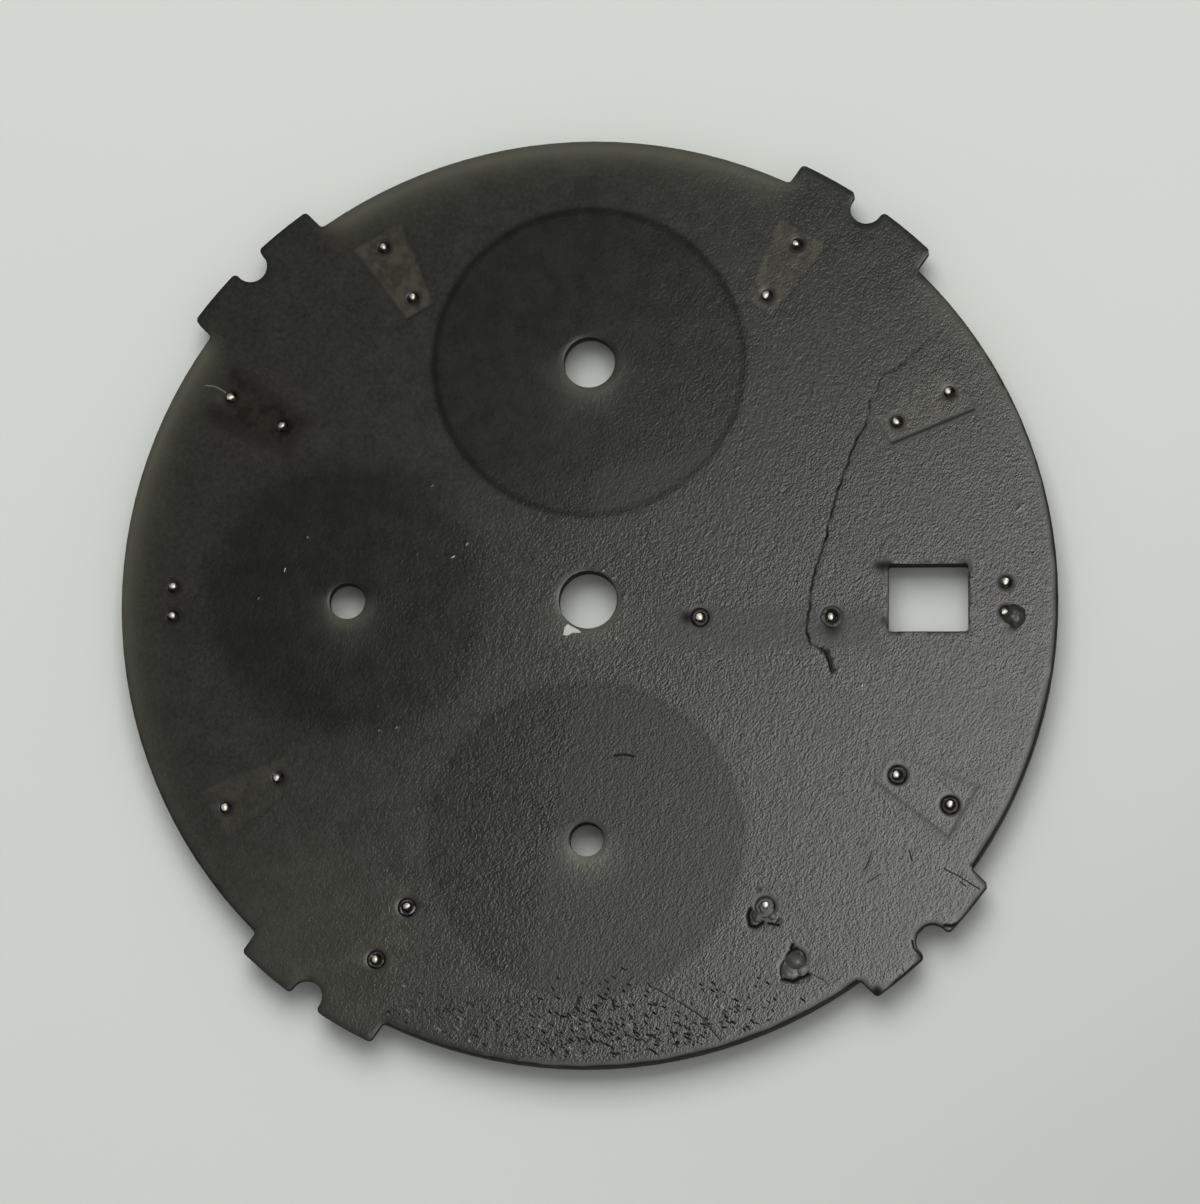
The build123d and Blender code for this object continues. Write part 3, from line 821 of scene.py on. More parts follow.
def grow(mesh, tree, values):
    """The plain mesh that a geometry node tree makes of a mesh, with its inputs set."""
    base = bpy.data.objects.new("base", mesh)
    bpy.context.collection.objects.link(base)
    modifier = base.modifiers.new("growth", "NODES")
    modifier.node_group = tree
    for socket in tree.interface.items_tree:
        if socket.in_out == "INPUT" and socket.name in values:
            modifier[socket.identifier] = values[socket.name]
    made_mesh = bpy.data.meshes.new_from_object(base.evaluated_get(bpy.context.evaluated_depsgraph_get()))
    base.modifiers.remove(modifier)
    bpy.data.objects.remove(base)
    return made_mesh


def start_group(name, inputs, outputs):
    """A shader node group with named inputs, each with its type and value, and named outputs."""
    group = bpy.data.node_groups.new(name, "ShaderNodeTree")
    for socket, kind, value in inputs:
        made_socket = group.interface.new_socket(socket, in_out="INPUT", socket_type=kind)
        if value is not None:
            made_socket.default_value = value
    for socket, kind in outputs:
        group.interface.new_socket(socket, in_out="OUTPUT", socket_type=kind)
    return group, add_node(group, "NodeGroupInput").outputs, add_node(group, "NodeGroupOutput").inputs


# The plastic: smoke-grey clouds, then each thing that shows in it, laid over the colours before, with painted
# glow and painted shade among them
smoke_dark = (0.0056, 0.0050, 0.0033, 1)
smoke_light = (0.0108, 0.0100, 0.0074, 1)
disc_colour = (0.0030, 0.0031, 0.0034, 1)
marker_colour = (0.042, 0.038, 0.025, 1)
fleck_and_painted_glow_colour = (0.062, 0.062, 0.047, 1)
stain_and_shade_colour = (0.0028, 0.0024, 0.0022, 1)
rust_colour = (0.020, 0.010, 0.0065, 1)
crack_and_shade_colour = (0.0012, 0.0012, 0.0012, 1)
nick_colour = (0.60, 0.60, 0.58, 1)
chip_colour = (0.46, 0.46, 0.43, 1)
lacquer_colour = (0.010, 0.0105, 0.012, 1)
cloud_noise = (0.25, 4.0, 0.6)
speck_noise = (6.0, 2.0, 0.6)
speck_band = (0.35, 0.65)
speck_share = 0.12
speck_disc_loss = 0.8
body_noise_scale = 2.6
body_band = (0.38, 0.62)
body_shares = (0.35, 1.1)
fleck_share = 0.10
disc_share = 0.9
rust_share = 0.7
polish_noise = (1.3, 4.0, 0.6)
polish_band = (0.3, 0.7)
polish_range = (0.20, 0.25)
full_roughness = 0.95
smoothing_share = 0.6
ring_gloss_loss = 0.3
disc_gloss_loss = 0.2
mark_gloss_loss = 0.8
body_gloss_loss = 0.6
disc_line_radius = 5.48
disc_lines = ((subdial_pitch, 0.26, 1.0), (-subdial_pitch, 0.20, 0.45))
face_band = (face_level + 0.005, face_level + 0.02)
wall_top_band = (back_level - 0.05, back_level - 0.02)
wall_roughness = 0.9
coarse_noise = (0.5, 2.0, 0.5)
fine_noise = (1.1, 2.0, 0.5)
coarse_weight = 0.6
fine_weight = 0.9
fleck_band = (0.72, 0.95)
grain_lean = radians(-58)
grain_values = {"Fleck Size": 0.078, "Stretch": 1.3, "Lean": grain_lean}
grain_middle = 0.75
grain_bump = 0.013


def stretched(tree, position, size, stretch, lean):
    """Positions turned and stretched, so that a noise texture read there has long, leaning grains."""
    turning = {"Vector": position, "Angle": lean}
    spun = add_node(tree, "ShaderNodeVectorRotate", turning, rotation_type="Z_AXIS").outputs[0]
    across_grain = calculate(tree, "DIVIDE", 1.0, size)
    along_grain = calculate(tree, "DIVIDE", across_grain, stretch)
    rates = combine(tree, X=along_grain, Y=across_grain, Z=across_grain)
    return calculate_vector(tree, "MULTIPLY", spun, rates)


def point_value(tree, name, strength=1.0):
    """A value that is stored on the points of the mesh, times a strength."""
    value = add_node(tree, "ShaderNodeAttribute", attribute_name=name).outputs["Fac"]
    return calculate(tree, "MULTIPLY", value, strength)


def height_of(tree, position):
    """The height of a position."""
    return add_node(tree, "ShaderNodeSeparateXYZ", {0: position}).outputs["Z"]


def add_bump(tree, shader, depth, height):
    """Makes a surface look uneven, to a depth in millimetres."""
    inputs = {"Strength": 1.0, "Distance": depth * mm, "Height": height}
    tree.links.new(add_node(tree, "ShaderNodeBump", inputs).outputs[0], shader.inputs["Normal"])


def below_zero(tree, value):
    """How far a value is below zero."""
    return calculate(tree, "MAXIMUM", calculate(tree, "MULTIPLY", value, -1.0), 0.0)


def disc_line(tree, position, middle, width, strength):
    """A soft line where the rim of a disc shows through."""
    flat = calculate_vector(tree, "MULTIPLY", position, (1, 1, 0))
    away = calculate_vector(tree, "DISTANCE", flat, (0, middle, 0))
    off_line = calculate(tree, "ABSOLUTE", calculate(tree, "SUBTRACT", away, disc_line_radius))
    return spread(tree, off_line, 0.0, width, strength, 0.0)


grain_group, given, results = start_group(
    "moulded_grain",
    [("Position", "NodeSocketVector", None), ("Fleck Size", "NodeSocketFloat", 0.1),
     ("Stretch", "NodeSocketFloat", 2.0), ("Lean", "NodeSocketFloat", 1.0)],
    [("Height", "NodeSocketFloat"), ("Flecks", "NodeSocketFloat")],
)
drawn = stretched(grain_group, given["Position"], given["Fleck Size"], given["Stretch"], given["Lean"])
coarse = calculate(grain_group, "MULTIPLY", fractal(grain_group, drawn, *coarse_noise), coarse_weight)
fine = fractal(grain_group, drawn, *fine_noise)
height = calculate(grain_group, "MULTIPLY_ADD", fine, fine_weight, coarse)
grain_group.links.new(height, results["Height"])
grain_group.links.new(spread(grain_group, height, *fleck_band), results["Flecks"])

plate_material, tree, shader, position = start_material("smoke_grey_plastic", Specular_IOR_Level=0.15)
grain = add_node(tree, "ShaderNodeGroup", node_tree=grain_group)
tree.links.new(position, grain.inputs["Position"])
for socket, value in grain_values.items():
    grain.inputs[socket].default_value = value

clear_of_discs = calculate(tree, "SUBTRACT", 1.0, point_value(tree, "disc_shade", speck_disc_loss))
specks = spread(tree, fractal(tree, position, *speck_noise), *speck_band, 0.0, speck_share)
ring_lines = calculate(tree, "MAXIMUM", *[disc_line(tree, position, *line) for line in disc_lines])
body_mottle = spread(tree, fractal(tree, position, body_noise_scale), *body_band, *body_shares)
body = calculate(tree, "MULTIPLY", point_value(tree, "marker_show"), body_mottle)
dark_body = below_zero(tree, body)
mark_value = point_value(tree, "mark")
dark_mark_and_shade = calculate(tree, "MAXIMUM", mark_value, 0.0)
height_in_plate = height_of(tree, position)
# Among these layers, the glow is painted light, and the marker outlines, the edge line and parts of the
# stains and marks are painted shade
layers = (
    (calculate(tree, "MULTIPLY", grain.outputs["Flecks"], fleck_share), fleck_and_painted_glow_colour),
    (point_value(tree, "disc_shade", disc_share), disc_colour),
    (calculate(tree, "MULTIPLY", specks, clear_of_discs), fleck_and_painted_glow_colour),
    (ring_lines, stain_and_shade_colour),
    (calculate(tree, "MAXIMUM", body, 0.0), marker_colour),
    (dark_body, stain_and_shade_colour),
    (point_value(tree, "marker_outline_and_shadow"), stain_and_shade_colour),
    (point_value(tree, "painted_glow"), fleck_and_painted_glow_colour),
    (point_value(tree, "rust", rust_share), rust_colour),
    (point_value(tree, "stain_and_shadow"), stain_and_shade_colour),
    (dark_mark_and_shade, crack_and_shade_colour),
    (below_zero(tree, mark_value), nick_colour),
    (point_value(tree, "chip"), chip_colour),
    (point_value(tree, "edge_shade_line"), stain_and_shade_colour),
    (spread(tree, height_in_plate, *face_band, 1.0, 0.0), lacquer_colour),
)
colour = blend_colours(tree, fractal(tree, position, *cloud_noise), smoke_dark, smoke_light)
for share, layer_colour in layers:
    colour = blend_colours(tree, share, colour, layer_colour)
tree.links.new(colour, shader.inputs["Base Color"])

disc_loss = point_value(tree, "disc_shade", disc_gloss_loss)
lost_gloss = calculate(tree, "MULTIPLY_ADD", ring_lines, ring_gloss_loss, disc_loss)
for dark, share in ((dark_mark_and_shade, mark_gloss_loss), (dark_body, body_gloss_loss)):
    lost_gloss = calculate(tree, "MAXIMUM", lost_gloss, calculate(tree, "MULTIPLY", dark, share))
tree.links.new(lost_gloss, shader.inputs["Metallic"])

polish = spread(tree, fractal(tree, position, *polish_noise), *polish_band, *polish_range)
on_wall = calculate(tree, "MULTIPLY", spread(tree, height_in_plate, *face_band),
                    spread(tree, height_in_plate, *wall_top_band, wall_roughness, 0.0))
dull_value = calculate(tree, "MAXIMUM", point_value(tree, "dull"), on_wall)
smoothed = calculate(tree, "MINIMUM", dull_value, 0.0)
smoothed = calculate(tree, "MULTIPLY_ADD", smoothed, smoothing_share, 1.0)
roughened = calculate(tree, "MULTIPLY", calculate(tree, "MAXIMUM", dull_value, 0.0),
                      calculate(tree, "SUBTRACT", full_roughness, polish))
tree.links.new(calculate(tree, "MULTIPLY_ADD", polish, smoothed, roughened), shader.inputs["Roughness"])
grain_height = calculate(tree, "SUBTRACT", grain.outputs["Height"], grain_middle)
grain_height = calculate(tree, "MULTIPLY", grain_height, point_value(tree, "grain_mask"))
add_bump(tree, shader, grain_bump, grain_height)

# The coarser part of the grain is real relief, grown on the back by a node tree
leather_values = {"Grain Height": 0.008, "Grain Size": 0.20, "Stretch": 1.4, "Lean": grain_lean, "Seed": 4.0}
leather, given = start_growth("leather_grain", [
    ("Grain Height", "NodeSocketFloat", 0.01), ("Grain Size", "NodeSocketFloat", 0.3),
    ("Stretch", "NodeSocketFloat", 2.0), ("Lean", "NodeSocketFloat", 0.0), ("Seed", "NodeSocketFloat", 0.0)])
place = add_node(leather, "GeometryNodeInputPosition").outputs[0]
drawn = stretched(leather, place, given["Grain Size"], given["Stretch"], given["Lean"])
wave_inputs = {"Vector": drawn, "W": given["Seed"], "Scale": 1.0, "Detail": 1.0}
waves = add_node(leather, "ShaderNodeTexNoise", wave_inputs, noise_dimensions="4D").outputs[0]
lift = calculate(leather, "MULTIPLY", calculate(leather, "SUBTRACT", waves, 0.5), given["Grain Height"])
lift = combine(leather, Z=calculate(leather, "MULTIPLY", lift, named_value(leather, "grain_mask")))
end_growth(leather, shift(leather, given["Geometry"], lift), plate_material)
plate_mesh = grow(plate_mesh, leather, leather_values)


def finish_piece(name, mesh, replaced, material=None, smooth_angle=35):
    """Makes an object of a mesh drawn in millimetres, and fixes it in the frame."""
    mesh.transform(Matrix.Scale(mm, 4))
    if material:
        mesh.materials.append(material)
    mesh.shade_smooth()
    mesh.set_sharp_from_angle(angle=radians(smooth_angle))
    piece = bpy.data.objects.new(name, mesh)
    bpy.context.collection.objects.link(piece)
    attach(piece, "root")
    if replaced:
        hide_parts(*replaced)


finish_piece("dial_plate_moulding", plate_mesh, ["dial_plate"])

# Sub-dial discs
# Three thin discs let into the face, turned with fine rings; the two large ones have a raised rim.
# From the back they show only as darker rounds through the plate.
disc_thickness = 0.15
disc_rim_width = 0.25
plain_rim_width = 0.05
disc_rim_height = 0.1
rim_slope = 0.03
rim_top_start = 0.05
rim_top_bevel = 0.01
rim_bevel = 0.04
bore_bevel = 0.02
groove_start = 0.3
groove_end = 0.1
groove_pitch = 0.16
groove_depth = 0.012
disc_steps = 160
disc_smooth_angle = 25
disc_noise_scale = 2.0
disc_dark = (0.030, 0.031, 0.034, 1)
disc_light = (0.060, 0.061, 0.064, 1)


def skin(rings, faces_from=0):
    """The faces between closed rings of points and over the first and the last ring."""
    count = len(rings[0])
    faces = [tuple(faces_from + corner for corner in reversed(range(count)))]
    for number in range(len(rings) - 1):
        low, high = faces_from + number * count, faces_from + (number + 1) * count
        for corner in range(count):
            after = (corner + 1) % count
            faces.append((low + corner, low + after, high + after, high + corner))
    last = faces_from + (len(rings) - 1) * count
    faces.append(tuple(last + corner for corner in range(count)))
    return faces


def mesh_of_shells(name, shells):
    """A mesh of closed shells, each given as a stack of rings."""
    points, faces = [], []
    for rings in shells:
        faces += skin(rings, len(points))
        points += [tuple(point) for ring_points in rings for point in ring_points]
    mesh = bpy.data.meshes.new(name)
    mesh.from_pydata(points, [], faces)
    return mesh


def lathe(name, centre, profile, steps):
    """A ring turned about an upright axis from a closed profile of radius and height."""
    points, faces = [], []
    for step in range(steps):
        angle = 2 * pi * step / steps
        for reach, level in profile:
            points.append((centre[0] + reach * cos(angle), centre[1] + reach * sin(angle), level))
    count = len(profile)
    for step in range(steps):
        here, there = step * count, (step + 1) % steps * count
        for number in range(count):
            after = (number + 1) % count
            faces.append((here + number, there + number, there + after, here + after))
    mesh = bpy.data.meshes.new(name)
    mesh.from_pydata(points, [], faces)
    return mesh


disc_material, tree, shader, position = start_material("turned_disc", Metallic=0.6, Roughness=0.32)
colour = blend_colours(tree, fractal(tree, position, disc_noise_scale), disc_dark, disc_light)
tree.links.new(colour, shader.inputs["Base Color"])
disc_back = face_level + disc_thickness
for register, disc_radius in disc_radii.items():
    rimmed = disc_radius == large_disc_radius
    x, y, bore = holes[register]
    face_end = disc_radius - (disc_rim_width if rimmed else plain_rim_width)
    rim_level = face_level - (disc_rim_height if rimmed else 0)
    grooves = np.arange(bore + groove_start, face_end - groove_end, groove_pitch / 2)
    profile = [(bore, disc_back), (bore, face_level + bore_bevel), (bore + bore_bevel, face_level)]
    profile += [(reach, face_level + number % 2 * groove_depth) for number, reach in enumerate(grooves)]
    profile += [(face_end, face_level), (face_end + rim_slope, rim_level + rim_top_bevel),
                (face_end + rim_top_start, rim_level), (disc_radius - rim_bevel, rim_level),
                (disc_radius, rim_level + rim_bevel), (disc_radius, disc_back)]
    finish_piece(f"turned_disc_{register}", lathe("disc", (x, y), profile, disc_steps),
                 [f"subdial_disc_{register}"], disc_material, disc_smooth_angle)

# Printed scales
# The minute track and the scales of the sub-dials, printed in pale ink on the face. They are not
# seen in the photograph, so they are the plain strokes that such dials carry.
ink_thickness = 0.01
ink_colour = (0.62, 0.62, 0.58, 1)
worn_ink_colour = (0.45, 0.45, 0.42, 1)
ink_noise_scale = 9.0
ink_band = (0.45, 0.6)
strokes_in_a_group = 5.0

# Each scale's middle, the number of its strokes, its radius, and how long and how wide they are
scales = {"minutes": ("centre", 60, 15.75, 0.55, 0.09), "six": ("six", 60, 4.85, 0.38, 0.07),
          "nine": ("nine", 60, 4.50, 0.38, 0.07), "twelve": ("twelve", 30, 4.85, 0.38, 0.08)}

ink_material, tree, shader, position = start_material("printed_ink", Roughness=0.55)
worn = spread(tree, fractal(tree, position, ink_noise_scale), *ink_band)
tree.links.new(blend_colours(tree, worn, ink_colour, worn_ink_colour), shader.inputs["Base Color"])

printing, given = start_growth("printed_scale", [
    ("Strokes", "NodeSocketInt", 60), ("Ring Radius", "NodeSocketFloat", 15.0),
    ("Stroke Length", "NodeSocketFloat", 0.5), ("Stroke Width", "NodeSocketFloat", 0.1),
    ("Thickness", "NodeSocketFloat", 0.01), ("Fifth Stroke Share", "NodeSocketFloat", 1.6)])
stroke_size = combine(printing, X=given["Stroke Length"], Y=given["Stroke Width"], Z=given["Thickness"])
stroke = add_node(printing, "GeometryNodeMeshCube", {"Size": stroke_size}).outputs[0]
ring_inputs = {"Vertices": given["Strokes"], "Radius": given["Ring Radius"]}
ring = add_node(printing, "GeometryNodeMeshCircle", ring_inputs).outputs[0]
index = add_node(printing, "GeometryNodeInputIndex").outputs[0]
place_in_group = calculate(printing, "MODULO", index, strokes_in_a_group)
is_fifth = calculate(printing, "COMPARE", place_in_group, 0.0, 0.5)
extra = calculate(printing, "SUBTRACT", given["Fifth Stroke Share"], 1.0)
swell = calculate(printing, "MULTIPLY_ADD", is_fifth, extra, 1.0)
step_angle = calculate(printing, "DIVIDE", 2 * pi, given["Strokes"])
turned = combine(printing, Z=calculate(printing, "MULTIPLY", index, step_angle))
scale = combine(printing, X=swell, Y=swell, Z=1.0)
strokes = put_on_points(printing, ring, stroke, Rotation=turned, Scale=scale)
end_growth(printing, put_on_points(printing, given["Geometry"], strokes), ink_material)
for name, (register, count, ring_radius, length, width) in scales.items():
    place_mesh = bpy.data.meshes.new("scale_place")
    place_mesh.from_pydata([(*holes[register][:2], face_level - ink_thickness / 2)], [], [])
    values = {"Strokes": count, "Ring Radius": ring_radius, "Stroke Length": length, "Stroke Width": width,
              "Thickness": ink_thickness}
    finish_piece(f"printed_scale_{name}", grow(place_mesh, printing, values), [])

# Hour markers
# Each is a plated bar with a bevelled face, a pocket for the inlay and two round feet, whose
# snipped tips come through the plate.
marker_level = 0.5
marker_bevel = 0.1
fine_bevel = 0.01
bevel_run = 0.02
lip_width = 0.05
lip_drop = 0.02
inlay_wall = 0.22
inlay_depth = 0.22
inlay_rows = ((0.42, 0.032), (0.32, 0.035), (0.255, 0.045), (0.24, 0.07), (0.24, inlay_depth))
corner_radius = 0.12
least_corner_radius = 0.03
corner_margin_share = 0.4
corner_steps = 4
foot_radius = 0.15
foot_base = 0.45
tip_level = 1.395
tip_rows = ((foot_base, 1, 0), (tip_level - 0.09, 1, 0), (tip_level - 0.01, 0.99, 0.03),
            (tip_level - 0.002, 0.93, 0.05), (tip_level, 0.62, 0.08), (tip_level, 0.25, 0.2))
tip_leans = (95, 175)
tip_slants = (0.18, 0.32)
tip_falls = (0.10, 0.25)
foot_steps = 14
buried_foot = (1, 0)
buried_tip = 0.07
seeds_per_hour = 10
short_marker_length = 1.0
marker_smooth_angle = 28
inlay_smooth_angle = 40
plating_dark = (0.60, 0.59, 0.57, 1)
plating_light = (0.82, 0.81, 0.79, 1)
cut_metal_colour = (0.19, 0.182, 0.162, 1)
dark_foot_colour = (0.012, 0.011, 0.009, 1)
plating_noise_scale = 6.0
plating_polish = (0.26, 0.40)
cut_roughness = 0.16
foot_end_levels = (1.2, 1.3)
fresh_cut_levels = (1.350, 1.374)
paste_dark = (0.52, 0.56, 0.47, 1)
paste_light = (0.68, 0.71, 0.62, 1)
paste_noise_scale = 14.0
paste_bump_depth = 0.01


def rounded_ring(corners, level, radius_of_corners):
    """A closed ring round corners that are drawn as short curves, at one level."""
    ring_points = []
    corners = [np.array(corner, float) for corner in corners]
    for number, corner in enumerate(corners):
        before, after = corners[number - 1] - corner, corners[(number + 1) % len(corners)] - corner
        start = corner + before / np.hypot(*before) * radius_of_corners
        end = corner + after / np.hypot(*after) * radius_of_corners
        for share in np.linspace(0, 1, corner_steps):
            point = start * (1 - share) ** 2 + corner * 2 * share * (1 - share) + end * share ** 2
            ring_points.append((point[0], point[1], level))
    return ring_points


def marker_ring(hour, margin, level):
    """The outline of a marker's body, a margin inside its edge, at one level."""
    along, across = hour_direction(hour)
    length = marker_outer_radius - marker_inner_radius if hour in long_markers else short_marker_length
    near, far = marker_outer_radius - length + margin, marker_outer_radius - margin
    corners = ((near, -marker_half(near) + margin), (far, -marker_half(far) + margin),
               (far, marker_half(far) - margin), (near, marker_half(near) - margin))
    places = [along * reach + across * aside for reach, aside in corners]
    return rounded_ring(places, level, max(corner_radius - margin * corner_margin_share, least_corner_radius))


def snipped_foot(place, seed, sunk=0.0):
    """A round foot whose end was nipped off: a slanted, uneven tip with a low ridge."""
    chance = np.random.default_rng(seed)
    lean = radians(chance.uniform(*tip_leans))
    ridge = chance.uniform(0, pi)
    slant, fall = chance.uniform(*tip_slants), chance.uniform(*tip_falls)
    rings = []
    for level, reach, unevenness in tip_rows:
        ring_points = []
        for step in range(foot_steps):
            angle = 2 * pi * step / foot_steps
            out = foot_radius * reach * (1 + unevenness * chance.uniform(-1, 1))
            drop = sunk * (level > foot_base)
            if unevenness:
                drop += out * (slant * (1 - cos(angle - lean)) + fall * abs(sin(angle - ridge)))
            ring_points.append((place[0] + out * cos(angle), place[1] + out * sin(angle), level - drop))
        rings.append(ring_points)
    return rings


marker_material, tree, shader, position = start_material("bright_plating", Metallic=1.0)
wear = fractal(tree, position, plating_noise_scale)
plating = blend_colours(tree, wear, plating_dark, plating_light)
height = height_of(tree, position)
cut_end = spread(tree, height, *foot_end_levels)
# Below the cut end each foot is drawn near black, so only the top of the tip shows bright
foot_colour = blend_colours(tree, spread(tree, height, *fresh_cut_levels), dark_foot_colour, cut_metal_colour)
tree.links.new(blend_colours(tree, cut_end, plating, foot_colour), shader.inputs["Base Color"])
polish = spread(tree, wear, *polish_band, *plating_polish)
tree.links.new(calculate(tree, "MULTIPLY_ADD", cut_end, cut_roughness, polish), shader.inputs["Roughness"])
inlay_material, tree, shader, position = start_material("light_storing_paste", Roughness=0.7)
paste_grain = fractal(tree, position, paste_noise_scale)
tree.links.new(blend_colours(tree, paste_grain, paste_dark, paste_light), shader.inputs["Base Color"])
add_bump(tree, shader, paste_bump_depth, paste_grain)

marker_rows = (
    (inlay_wall, inlay_depth), (inlay_wall, lip_drop), (inlay_wall - lip_width / 2, 0),
    (marker_bevel + lip_width / 2, 0), (marker_bevel, fine_bevel), (fine_bevel, marker_bevel),
    (0, marker_bevel + bevel_run), (0, marker_level),
)
for hour in marker_hours:
    shells = [[marker_ring(hour, margin, level) for margin, level in marker_rows]]
    for number, foot in enumerate(marker_feet(hour)):
        sunk = buried_tip if (hour, number) == buried_foot else 0
        shells.append(snipped_foot(foot, hour * seeds_per_hour + number, sunk))
    finish_piece(f"plated_marker_{hour:02d}", mesh_of_shells("marker", shells),
                 [f"hour_marker_{hour:02d}"], marker_material, marker_smooth_angle)
    inlay = [marker_ring(hour, margin, level) for margin, level in inlay_rows]
    finish_piece(f"paste_inlay_{hour:02d}", mesh_of_shells("inlay", [inlay]),
                 [f"marker_inlay_{hour:02d}"], inlay_material, inlay_smooth_angle)

# Plaque
# A plated bar without lettering, fixed on the face between the centre and the date window,
# with two feet like those of the markers.
plaque_level = 0.2
plaque_bevel = 0.08
plaque_seed = 200
bevel_end = plaque_level + plaque_bevel
plaque_rows = ((plaque_bevel, plaque_level), (fine_bevel, bevel_end), (0, bevel_end + bevel_run),
               (0, marker_level))
plaque_rings = []
for margin, level in plaque_rows:
    x0, y0, x1, y1 = (side + way * margin for side, way in zip(plaque_box, (1, 1, -1, -1)))
    plaque_rings.append(rounded_ring(((x0, y0), (x1, y0), (x1, y1), (x0, y1)), level, corner_radius))
shells = [plaque_rings]
shells += [snipped_foot(foot, plaque_seed + number) for number, foot in enumerate(plaque_foot_places)]
finish_piece("plated_plaque", mesh_of_shells("plaque", shells), ["name_plaque"], marker_material,
             marker_smooth_angle)

# Cement
# Dark glossy glue in the pockets round the feet; some pockets are filled level with the back.
# Two lumps stand where too much was put on at one o'clock, and a drop ran beside a foot at three.
bead_values = {"Bead Radius": 0.235, "Bead Thickness": 0.08, "Unevenness": 0.10, "Seed": 3}
bead_sink = 0.065
bead_sizes = (0.86, 1.04)
bead_steps = 30
bead_section_steps = 10
bead_noise = {"Scale": 5.0, "Detail": 2.0}
tight_bead_share = 0.62
tight_bead_aside = (-0.03, 0.03)
washer_bead_share = 1.45
washer_reach = 0.6
washer_pale_share = 0.3
bead_matt = 0.22
cement_dark = (0.0035, 0.0032, 0.0026, 1)
cement_brown = (0.013, 0.0115, 0.009, 1)
pale_cement_and_sheen_colour = (0.050, 0.050, 0.042, 1)
cement_noise_scale = 4.0
cement_polish = (0.28, 0.42)
mound_shares = (1, 0.95, 0.9, 0.84, 0.78, 0.72, 0.65, 0.58, 0.5, 0.42, 0.34, 0.26, 0.17, 0.06)
mound_root = (1, -0.4)
mound_lift = 1.02
mound_outline_rate = 1.5
mound_outline_swing = 0.2
mound_rate = 6
ripple_count = 2.4
mound_steps = 40
mound_top = 0.15
seed_step = 3.7

# Lumps of glue: how far each is off the foot, its reach, its rise, its unevenness and its ripple
outer_lumps = (((0.0, -0.10), 0.33, 0.13, 0.08, 0), ((-0.19, -0.42), 0.29, 0.045, 0.3, 0),
               ((0.20, -0.38), 0.20, 0.035, 0.3, 0))
inner_lumps = (((-0.03, -0.04), 0.36, 0.05, 0.1, 0.007), ((-0.29, -0.34), 0.22, 0.05, 0.3, 0),
               ((0.24, -0.34), 0.15, 0.035, 0.3, 0))
drop_lumps = (((0.31, -0.15), 0.38, 0.145, 0.25, 0),)

cement_material, tree, shader, position = start_material("cement", Specular_IOR_Level=0.2)
smears = fractal(tree, position, cement_noise_scale)
colour = blend_colours(tree, smears, cement_dark, cement_brown)
# How pale the glue is drawn; on the outer lump at one o'clock the paleness is a painted sheen
colour = blend_colours(tree, point_value(tree, "pale_share"), colour, pale_cement_and_sheen_colour)
tree.links.new(colour, shader.inputs["Base Color"])
polish = spread(tree, smears, *polish_band, *cement_polish)
tree.links.new(calculate(tree, "ADD", polish, point_value(tree, "matt")), shader.inputs["Roughness"])

beads, given = start_growth("cement_beads", [
    ("Bead Radius", "NodeSocketFloat", 0.2), ("Bead Thickness", "NodeSocketFloat", 0.08),
    ("Unevenness", "NodeSocketFloat", 0.03), ("Seed", "NodeSocketInt", 0)])


def curve_circle(steps, radius):
    """A circle as a curve."""
    inputs = {"Resolution": steps, "Radius": radius}
    return add_node(beads, "GeometryNodeCurvePrimitiveCircle", inputs).outputs[0]


def bead_chance(low, high):
    """A number drawn for each bead."""
    inputs = {2: low, 3: high, "Seed": given["Seed"]}
    return add_node(beads, "FunctionNodeRandomValue", inputs, data_type="FLOAT").outputs[1]


curves = {"Curve": curve_circle(bead_steps, given["Bead Radius"]),
          "Profile Curve": curve_circle(bead_section_steps, given["Bead Thickness"])}
bead = add_node(beads, "GeometryNodeCurveToMesh", curves).outputs[0]
size = calculate(beads, "MULTIPLY", bead_chance(*bead_sizes), named_value(beads, "size_share"))
turned = combine(beads, Z=bead_chance(0.0, 2 * pi))
placed = put_on_points(beads, given["Geometry"], bead, Rotation=turned, Scale=size)
real = add_node(beads, "GeometryNodeRealizeInstances", {0: placed}).outputs[0]
place = add_node(beads, "GeometryNodeInputPosition").outputs[0]
waves = add_node(beads, "ShaderNodeTexNoise", {"Vector": place, **bead_noise}).outputs["Color"]
waves = calculate_vector(beads, "SUBTRACT", waves, (0.5, 0.5, 0.5))
waves = calculate_vector(beads, "SCALE", waves, given["Unevenness"])
end_growth(beads, shift(beads, real, waves), cement_material)

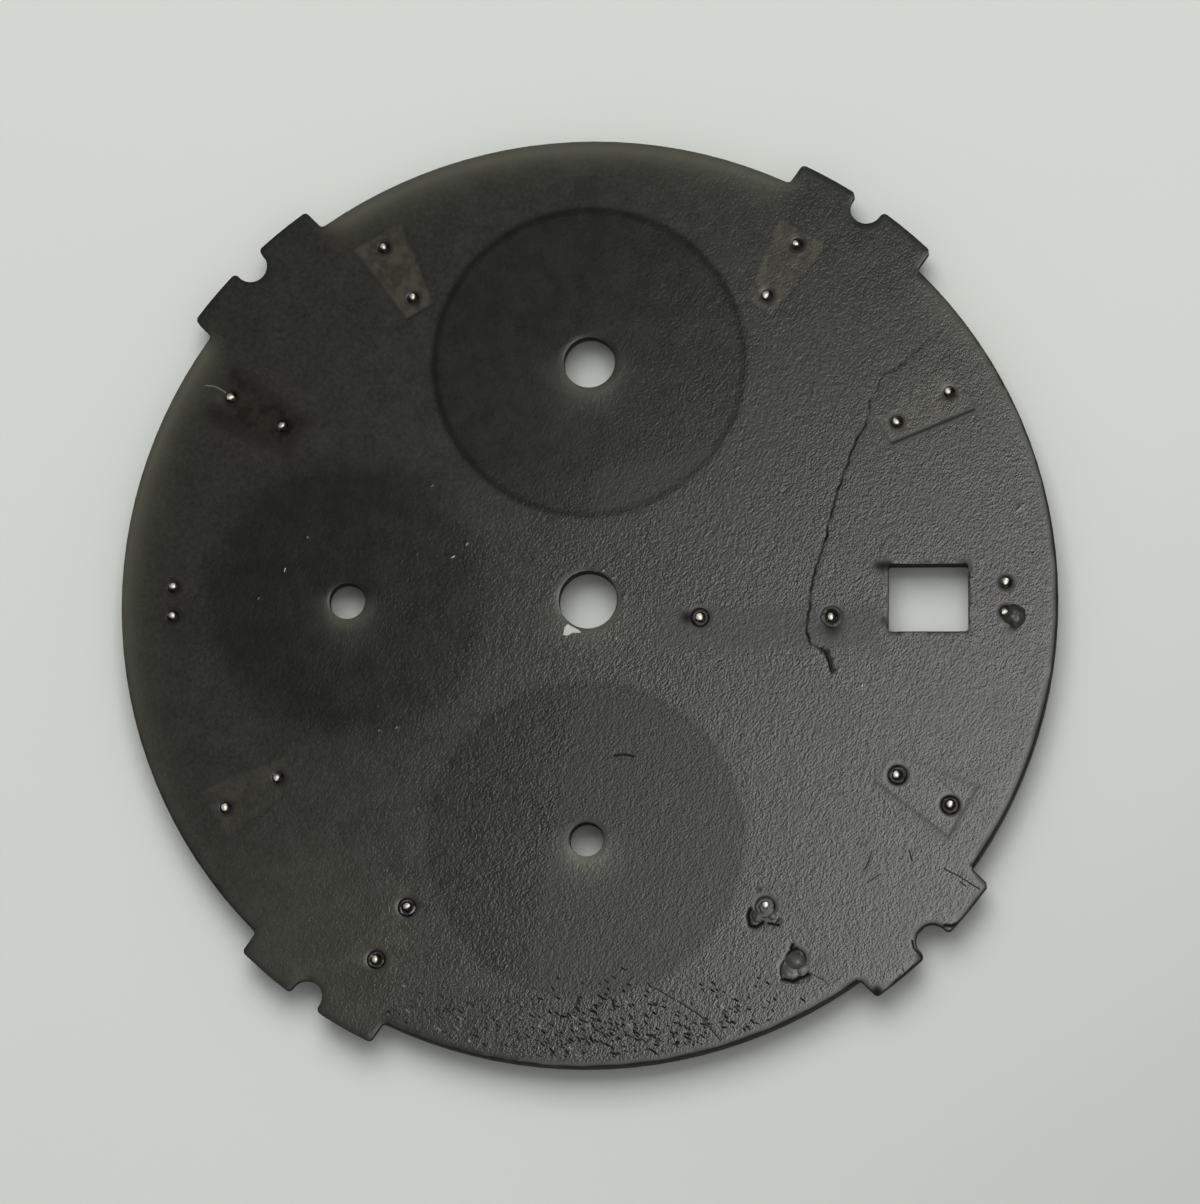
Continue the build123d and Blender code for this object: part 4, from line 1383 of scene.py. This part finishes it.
bead_points = []
bead_shares = []
for number, (x, y) in enumerate(feet):
    tight = number < len(marker_foot_places) and marker_hours[number // 2] in tight_pocket_hours
    aside, up = tight_bead_aside if tight else (0, 0)
    bead_points.append((x + aside, y + up, back_level - bead_sink))
    bead_shares.append(tight_bead_share if tight else 1.0)
bead_shares[-1] = washer_bead_share
bead_places = bpy.data.meshes.new("bead_places")
bead_places.from_pydata(bead_points, [], [])
store(bead_places, "size_share", bead_shares)
bead_mesh = grow(bead_places, beads, bead_values)
bead_corners = np.array([corner.co.xy for corner in bead_mesh.vertices])
from_washer = np.hypot(*(bead_corners - np.array(plaque_foot_places[1])).T)
store(bead_mesh, "pale_share", washer_pale_share * (from_washer < washer_reach))
store(bead_mesh, "matt", bead_matt * sheen_share(bead_corners))
finish_piece("cement_beads", bead_mesh, ["foot_cement"])


def mound(centre, reach, rise, unevenness, ripple, seed):
    """The rings of an uneven, rounded lump of glue on the back of the plate."""
    rings = []
    for share, lift in [mound_root] + [(share, mound_lift - share ** 2) for share in mound_shares]:
        ring_points = []
        for step in range(mound_steps):
            angle = 2 * pi * step / mound_steps
            around = (mound_outline_rate * cos(angle), mound_outline_rate * sin(angle), seed)
            out = reach * share * (1 + mound_outline_swing * noise.noise(Vector(around)))
            x, y = centre[0] + out * cos(angle), centre[1] + out * sin(angle)
            height = rise * lift
            if lift > 0:
                height *= 1 + unevenness * noise.noise(Vector((x * mound_rate, y * mound_rate, seed)))
                height += ripple * cos(ripple_count * 2 * pi * share)
            ring_points.append((x, y, back_level + min(height, mound_top)))
        rings.append(ring_points)
    return rings


def place_glue(name, foot, lumps, pale_share, matt, replaced):
    """A piece of glue made of lumps beside a foot, with how pale and how matt it is."""
    shells = [mound(foot + np.array(aside), *sizes, seed_step * number + foot[0])
              for number, (aside, *sizes) in enumerate(lumps)]
    mesh = mesh_of_shells("lump", shells)
    store(mesh, "pale_share", [pale_share] * len(mesh.vertices))
    store(mesh, "matt", [matt] * len(mesh.vertices))
    finish_piece(name, mesh, replaced, cement_material)


outer_one_foot, inner_one_foot = marker_feet(1)
# The outer lump is painted pale as a painted sheen, in place of the light its slopes would reflect
place_glue("cement_lump_outer", outer_one_foot, outer_lumps, 0.8, 0.1, [])
place_glue("cement_lump_inner", inner_one_foot, inner_lumps, 0.2, 0.08, [])
place_glue("cement_drop", marker_feet(3)[1], drop_lumps, 0.1, 0.12, ["cement_dab"])
